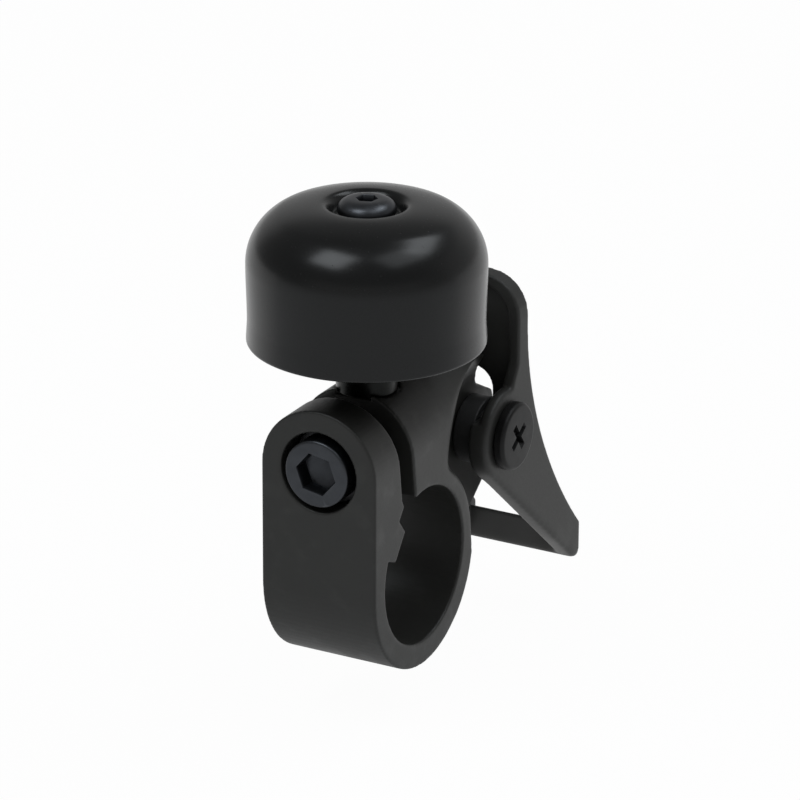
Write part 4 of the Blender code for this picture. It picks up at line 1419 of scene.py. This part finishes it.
@dataclass
class Striker:
    """Spring leaf with its brass striker, riveted to the spoon."""

    leaf_y: float = 25.7 * MM
    bend_start: float = 1.5 * MM
    tip: float = 16.37 * MM
    base: float = 19.87 * MM
    radius: float = 2.2 * MM
    nose: float = 1.0 * MM
    stem: float = 1.0 * MM
    collar: Point = (1.5 * MM, 20.97 * MM, 21.57 * MM)
    rivet_head: Point = (2.0 * MM, 24.25 * MM, 25.15 * MM)
    rivet_shank: float = 1.0 * MM
    rivet_tail: Span = (28.05 * MM, 28.5 * MM)
    rivet_edge: float = 0.18 * MM
    rivet_crown: float = 0.6
    collar_edge: float = 0.15 * MM
    flat: float = 0.3 * MM

    leaf_steel: Finish = DrawnSteel("striker_leaf_steel", (0.36, 0.36, 0.35), 0.3, 1.0)
    brass: Finish = TurnedMetal(
        "striker_brass", (0.52, 0.38, 0.17), 0.3, 1.0, axis=Axis.Y, centre=STRIKER
    )
    steel: Finish = TurnedMetal(
        "striker_rivet_steel", (0.3, 0.3, 0.29), 0.36, 1.0, axis=Axis.Y, centre=RIVET
    )

    def build(self) -> None:
        """Make the leaf, the striker and the rivet."""
        mesh = Softening(depth=7, passes=3, swell=0.0).mesh("striker_leaf")
        leaf = add_piece("striker_spring_leaf", mesh, self.leaf_steel, CAST_SHARP)
        settle(leaf, "striker_leaf", None)
        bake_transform(leaf)
        self.build_head()
        self.build_rivet()

    def build_head(self) -> None:
        """Turned striker, clinched to the leaf by a collar."""
        wide, low, high = self.collar
        middle = (self.radius - self.nose, self.tip + self.nose)
        nose = arc(middle, self.nose, 270, 360, steps=10)
        rest = [(self.radius, self.base), (self.stem, self.base), (self.stem, low), (wide, low)]
        rest += [(wide, high), (self.flat, high)]
        back = fillet([nose[-1], *rest], self.collar_edge)[1:]
        rings = [(0, self.tip), *nose, *back, (0, high)]
        place = Axis.Y.place(STRIKER)
        head = turned("striker_brass_head", rings, place, self.brass, angles=circle(64))
        settle(head, "striker_head", Body.STRIKER)

    def build_rivet(self) -> None:
        """Snap-head rivet through the leaf and the spoon."""
        wide, front, back = self.rivet_head
        low, high = self.rivet_tail
        curve = [(self.flat, front), (wide * self.rivet_crown, front)]
        snap = bezier([*curve, (wide, front + self.flat), (wide, back)], steps=12)
        rest = [(self.rivet_shank, back), (self.rivet_shank, low)]
        rest += [(wide, low), (wide, high), (self.flat, high)]
        tail = fillet([snap[-1], *rest], self.rivet_edge)[1:]
        rings = [(0, front), *snap, *tail, (0, high)]
        place = Axis.Y.place(RIVET)
        rivet = turned("leaf_snap_rivet", rings, place, self.steel, angles=circle(64))
        settle(rivet, "striker_rivet", Body.TRIGGER)


# Studio


@dataclass(frozen=True)
class Softbox:
    """Square lamp that looks at the bell."""

    name: str
    azimuth: float
    elevation: float
    distance: float
    size: Span
    power: float
    daylight: Colour = (0.91, 0.96, 1.0)

    def build(self, target: Vector) -> None:
        """Hang the lamp and turn it to the bell.

        Args:
            target: Point that it looks at.
        """
        turn, lift = math.radians(self.azimuth), math.radians(self.elevation)
        level = math.cos(lift)
        way = Vector((math.sin(turn) * level, -math.cos(turn) * level, math.sin(lift)))
        light = bpy.data.lights.new(self.name, "AREA")
        light.shape = "RECTANGLE"
        light.size, light.size_y = self.size
        light.energy = self.power
        light.color = self.daylight
        lamp = bpy.data.objects.new(self.name, light)
        lamp.location = target + way * self.distance
        lamp.rotation_euler = (-way).to_track_quat("-Z", "Y").to_euler()
        lamp.visible_camera = False
        bpy.context.scene.collection.objects.link(lamp)
        LOG.info("%s hangs at %s", self.name, tuple(round(v, 3) for v in lamp.location))


@dataclass
class Studio:
    """Camera, pale table and soft light."""

    eye: Point = (0.32519, -0.59101, 0.29037)
    right: Point = (0.8784, 0.478, 0.0038)
    up: Point = (-0.1795, 0.3226, 0.9293)
    lens: float = 242.67
    sensor: float = 36.0
    clip: float = 10.0 * MM
    floor_z: float = -22.5 * MM
    floor_radius: float = 30.0
    target: Point = (0.0, 0.0, 20.0 * MM)
    camera_white: float = 0.97
    front_glow: float = 0.34
    back_glow: float = 0.84
    room: float = 0.22
    backdrop: float = 0.85
    table_grey: float = 0.85
    table_way: Span = (-0.48, 0.88)
    table_ends: Span = (-14.0 * MM, 42.0 * MM)
    sweep_glow: float = 0.5
    sweep_top: Span = (0.43, 0.58)
    sweep_side: Span = (0.1, 0.5)
    sweep_right: Span = (0.25, 0.55)
    sweep_dim: float = 0.3
    wall_glow: float = 0.4
    wall_top: Span = (0.15, 0.35)
    wall_way: Span = (0.5, -0.86)
    wall_ends: Span = (0.3, 0.8)
    panel_glow: float = 0.12
    panel_way: Point = (0.8, 0.55, 0.25)
    panel_ends: Span = (0.7, 0.95)
    lamps: tuple[Softbox, ...] = (
        Softbox("left_softbox", -22.0, 57.0, 0.9, (0.44, 0.44), 2.9),
        Softbox("right_softbox", 137.0, 58.0, 0.9, (0.52, 0.30), 1.8),
        Softbox("fill_softbox", 84.0, 60.0, 0.9, (0.55, 0.40), 1.1),
    )

    def build(self) -> None:
        """Set up the whole studio."""
        bpy.context.scene.view_settings.view_transform = "Standard"
        self.build_camera()
        self.build_floor()
        self.build_world()
        for lamp in self.lamps:
            lamp.build(Vector(self.target))

    def build_camera(self) -> None:
        """Camera at the photograph's viewing angle."""
        data = bpy.data.cameras.new("camera")
        data.sensor_width = self.sensor
        data.lens = self.lens
        data.clip_start = self.clip
        camera = bpy.data.objects.new("camera", data)
        right = Vector(self.right).normalized()
        back = right.cross(Vector(self.up)).normalized()
        turn = Matrix((right, back.cross(right), back)).transposed().to_4x4()
        camera.matrix_world = Matrix.Translation(self.eye) @ turn
        bpy.context.scene.collection.objects.link(camera)
        bpy.context.scene.camera = camera

    def build_floor(self) -> None:
        """Pale table that shows white and keeps the bell's shadow."""
        shape = bmesh.new()
        bmesh.ops.create_circle(shape, cap_ends=True, segments=96, radius=self.floor_radius)
        mesh = bpy.data.meshes.new("table")
        shape.to_mesh(mesh)
        shape.free()
        floor = bpy.data.objects.new("table", mesh)
        floor.location.z = self.floor_z
        bpy.context.scene.collection.objects.link(floor)
        material = bpy.data.materials.new("table_white")
        shader = Shader(material)
        x, y = shader.split(shader.point(), "XY")
        right, back = self.table_way
        behind = (back * y + right * x).rise(*self.table_ends)
        glow = self.front_glow + (self.back_glow - self.front_glow) * behind
        rays = ("Is Camera Ray", "Is Glossy Ray", "Is Transmission Ray")
        seen, glossy, through = (shader.add("ShaderNodeLightPath", output=name) for name in rays)
        mirrored = glossy + through
        mask = self.camera_white * seen + glow * mirrored
        grey = (*[self.table_grey] * 3, 1.0)
        matte = shader.add("ShaderNodeBsdfDiffuse", None, {"Color": grey})
        white = shader.add("ShaderNodeEmission", None, {"Color": WHITE, "Strength": 1.0})
        surface = shader.add("ShaderNodeMixShader", None, {0: mask, 1: matte, 2: white})
        shader.add("ShaderNodeOutputMaterial", None, {"Surface": surface})
        mesh.materials.append(material)

    def build_world(self) -> None:
        """Dim room with a pale sweep behind the table, a low wall before it and a panel at the right."""
        world = bpy.data.worlds.new("room")
        bpy.context.scene.world = world
        shader = Shader(world)
        way = shader.add("ShaderNodeTexCoord", output="Generated")
        x, y, z = shader.split(way)
        sweep = (1.0 - z.rise(*self.sweep_top)) * y.rise(*self.sweep_side)
        sweep *= 1.0 - self.sweep_dim * x.rise(*self.sweep_right)
        right, back = self.wall_way
        wall = (1.0 - z.rise(*self.wall_top)) * (right * x + back * y).rise(*self.wall_ends)
        right, back, up = self.panel_way
        panel = (right * x + back * y + up * z).rise(*self.panel_ends)
        seen = shader.add("ShaderNodeLightPath", output="Is Camera Ray")
        glow = self.sweep_glow * sweep + self.wall_glow * wall
        glow += self.panel_glow * panel * (1.0 - sweep)
        mask = seen + (1.0 - seen) * glow
        dim = shader.add("ShaderNodeBackground", None, {"Color": WHITE, "Strength": self.room})
        pale = shader.add("ShaderNodeBackground", None, {"Color": WHITE, "Strength": self.backdrop})
        light = shader.add("ShaderNodeMixShader", None, {0: mask, 1: dim, 2: pale})
        shader.add("ShaderNodeOutputWorld", None, {"Surface": light})


def main() -> None:
    """Build the studio and every piece of the bell."""
    logging.basicConfig(level=logging.INFO, format="%(name)s: %(message)s")
    for assembly in (Studio(), Clamp(), Bell(), Lever(), Pivot(), ReturnSpring(), Striker()):
        LOG.info("building %s", type(assembly).__name__)
        assembly.build()


if __name__ == "__main__":
    main()
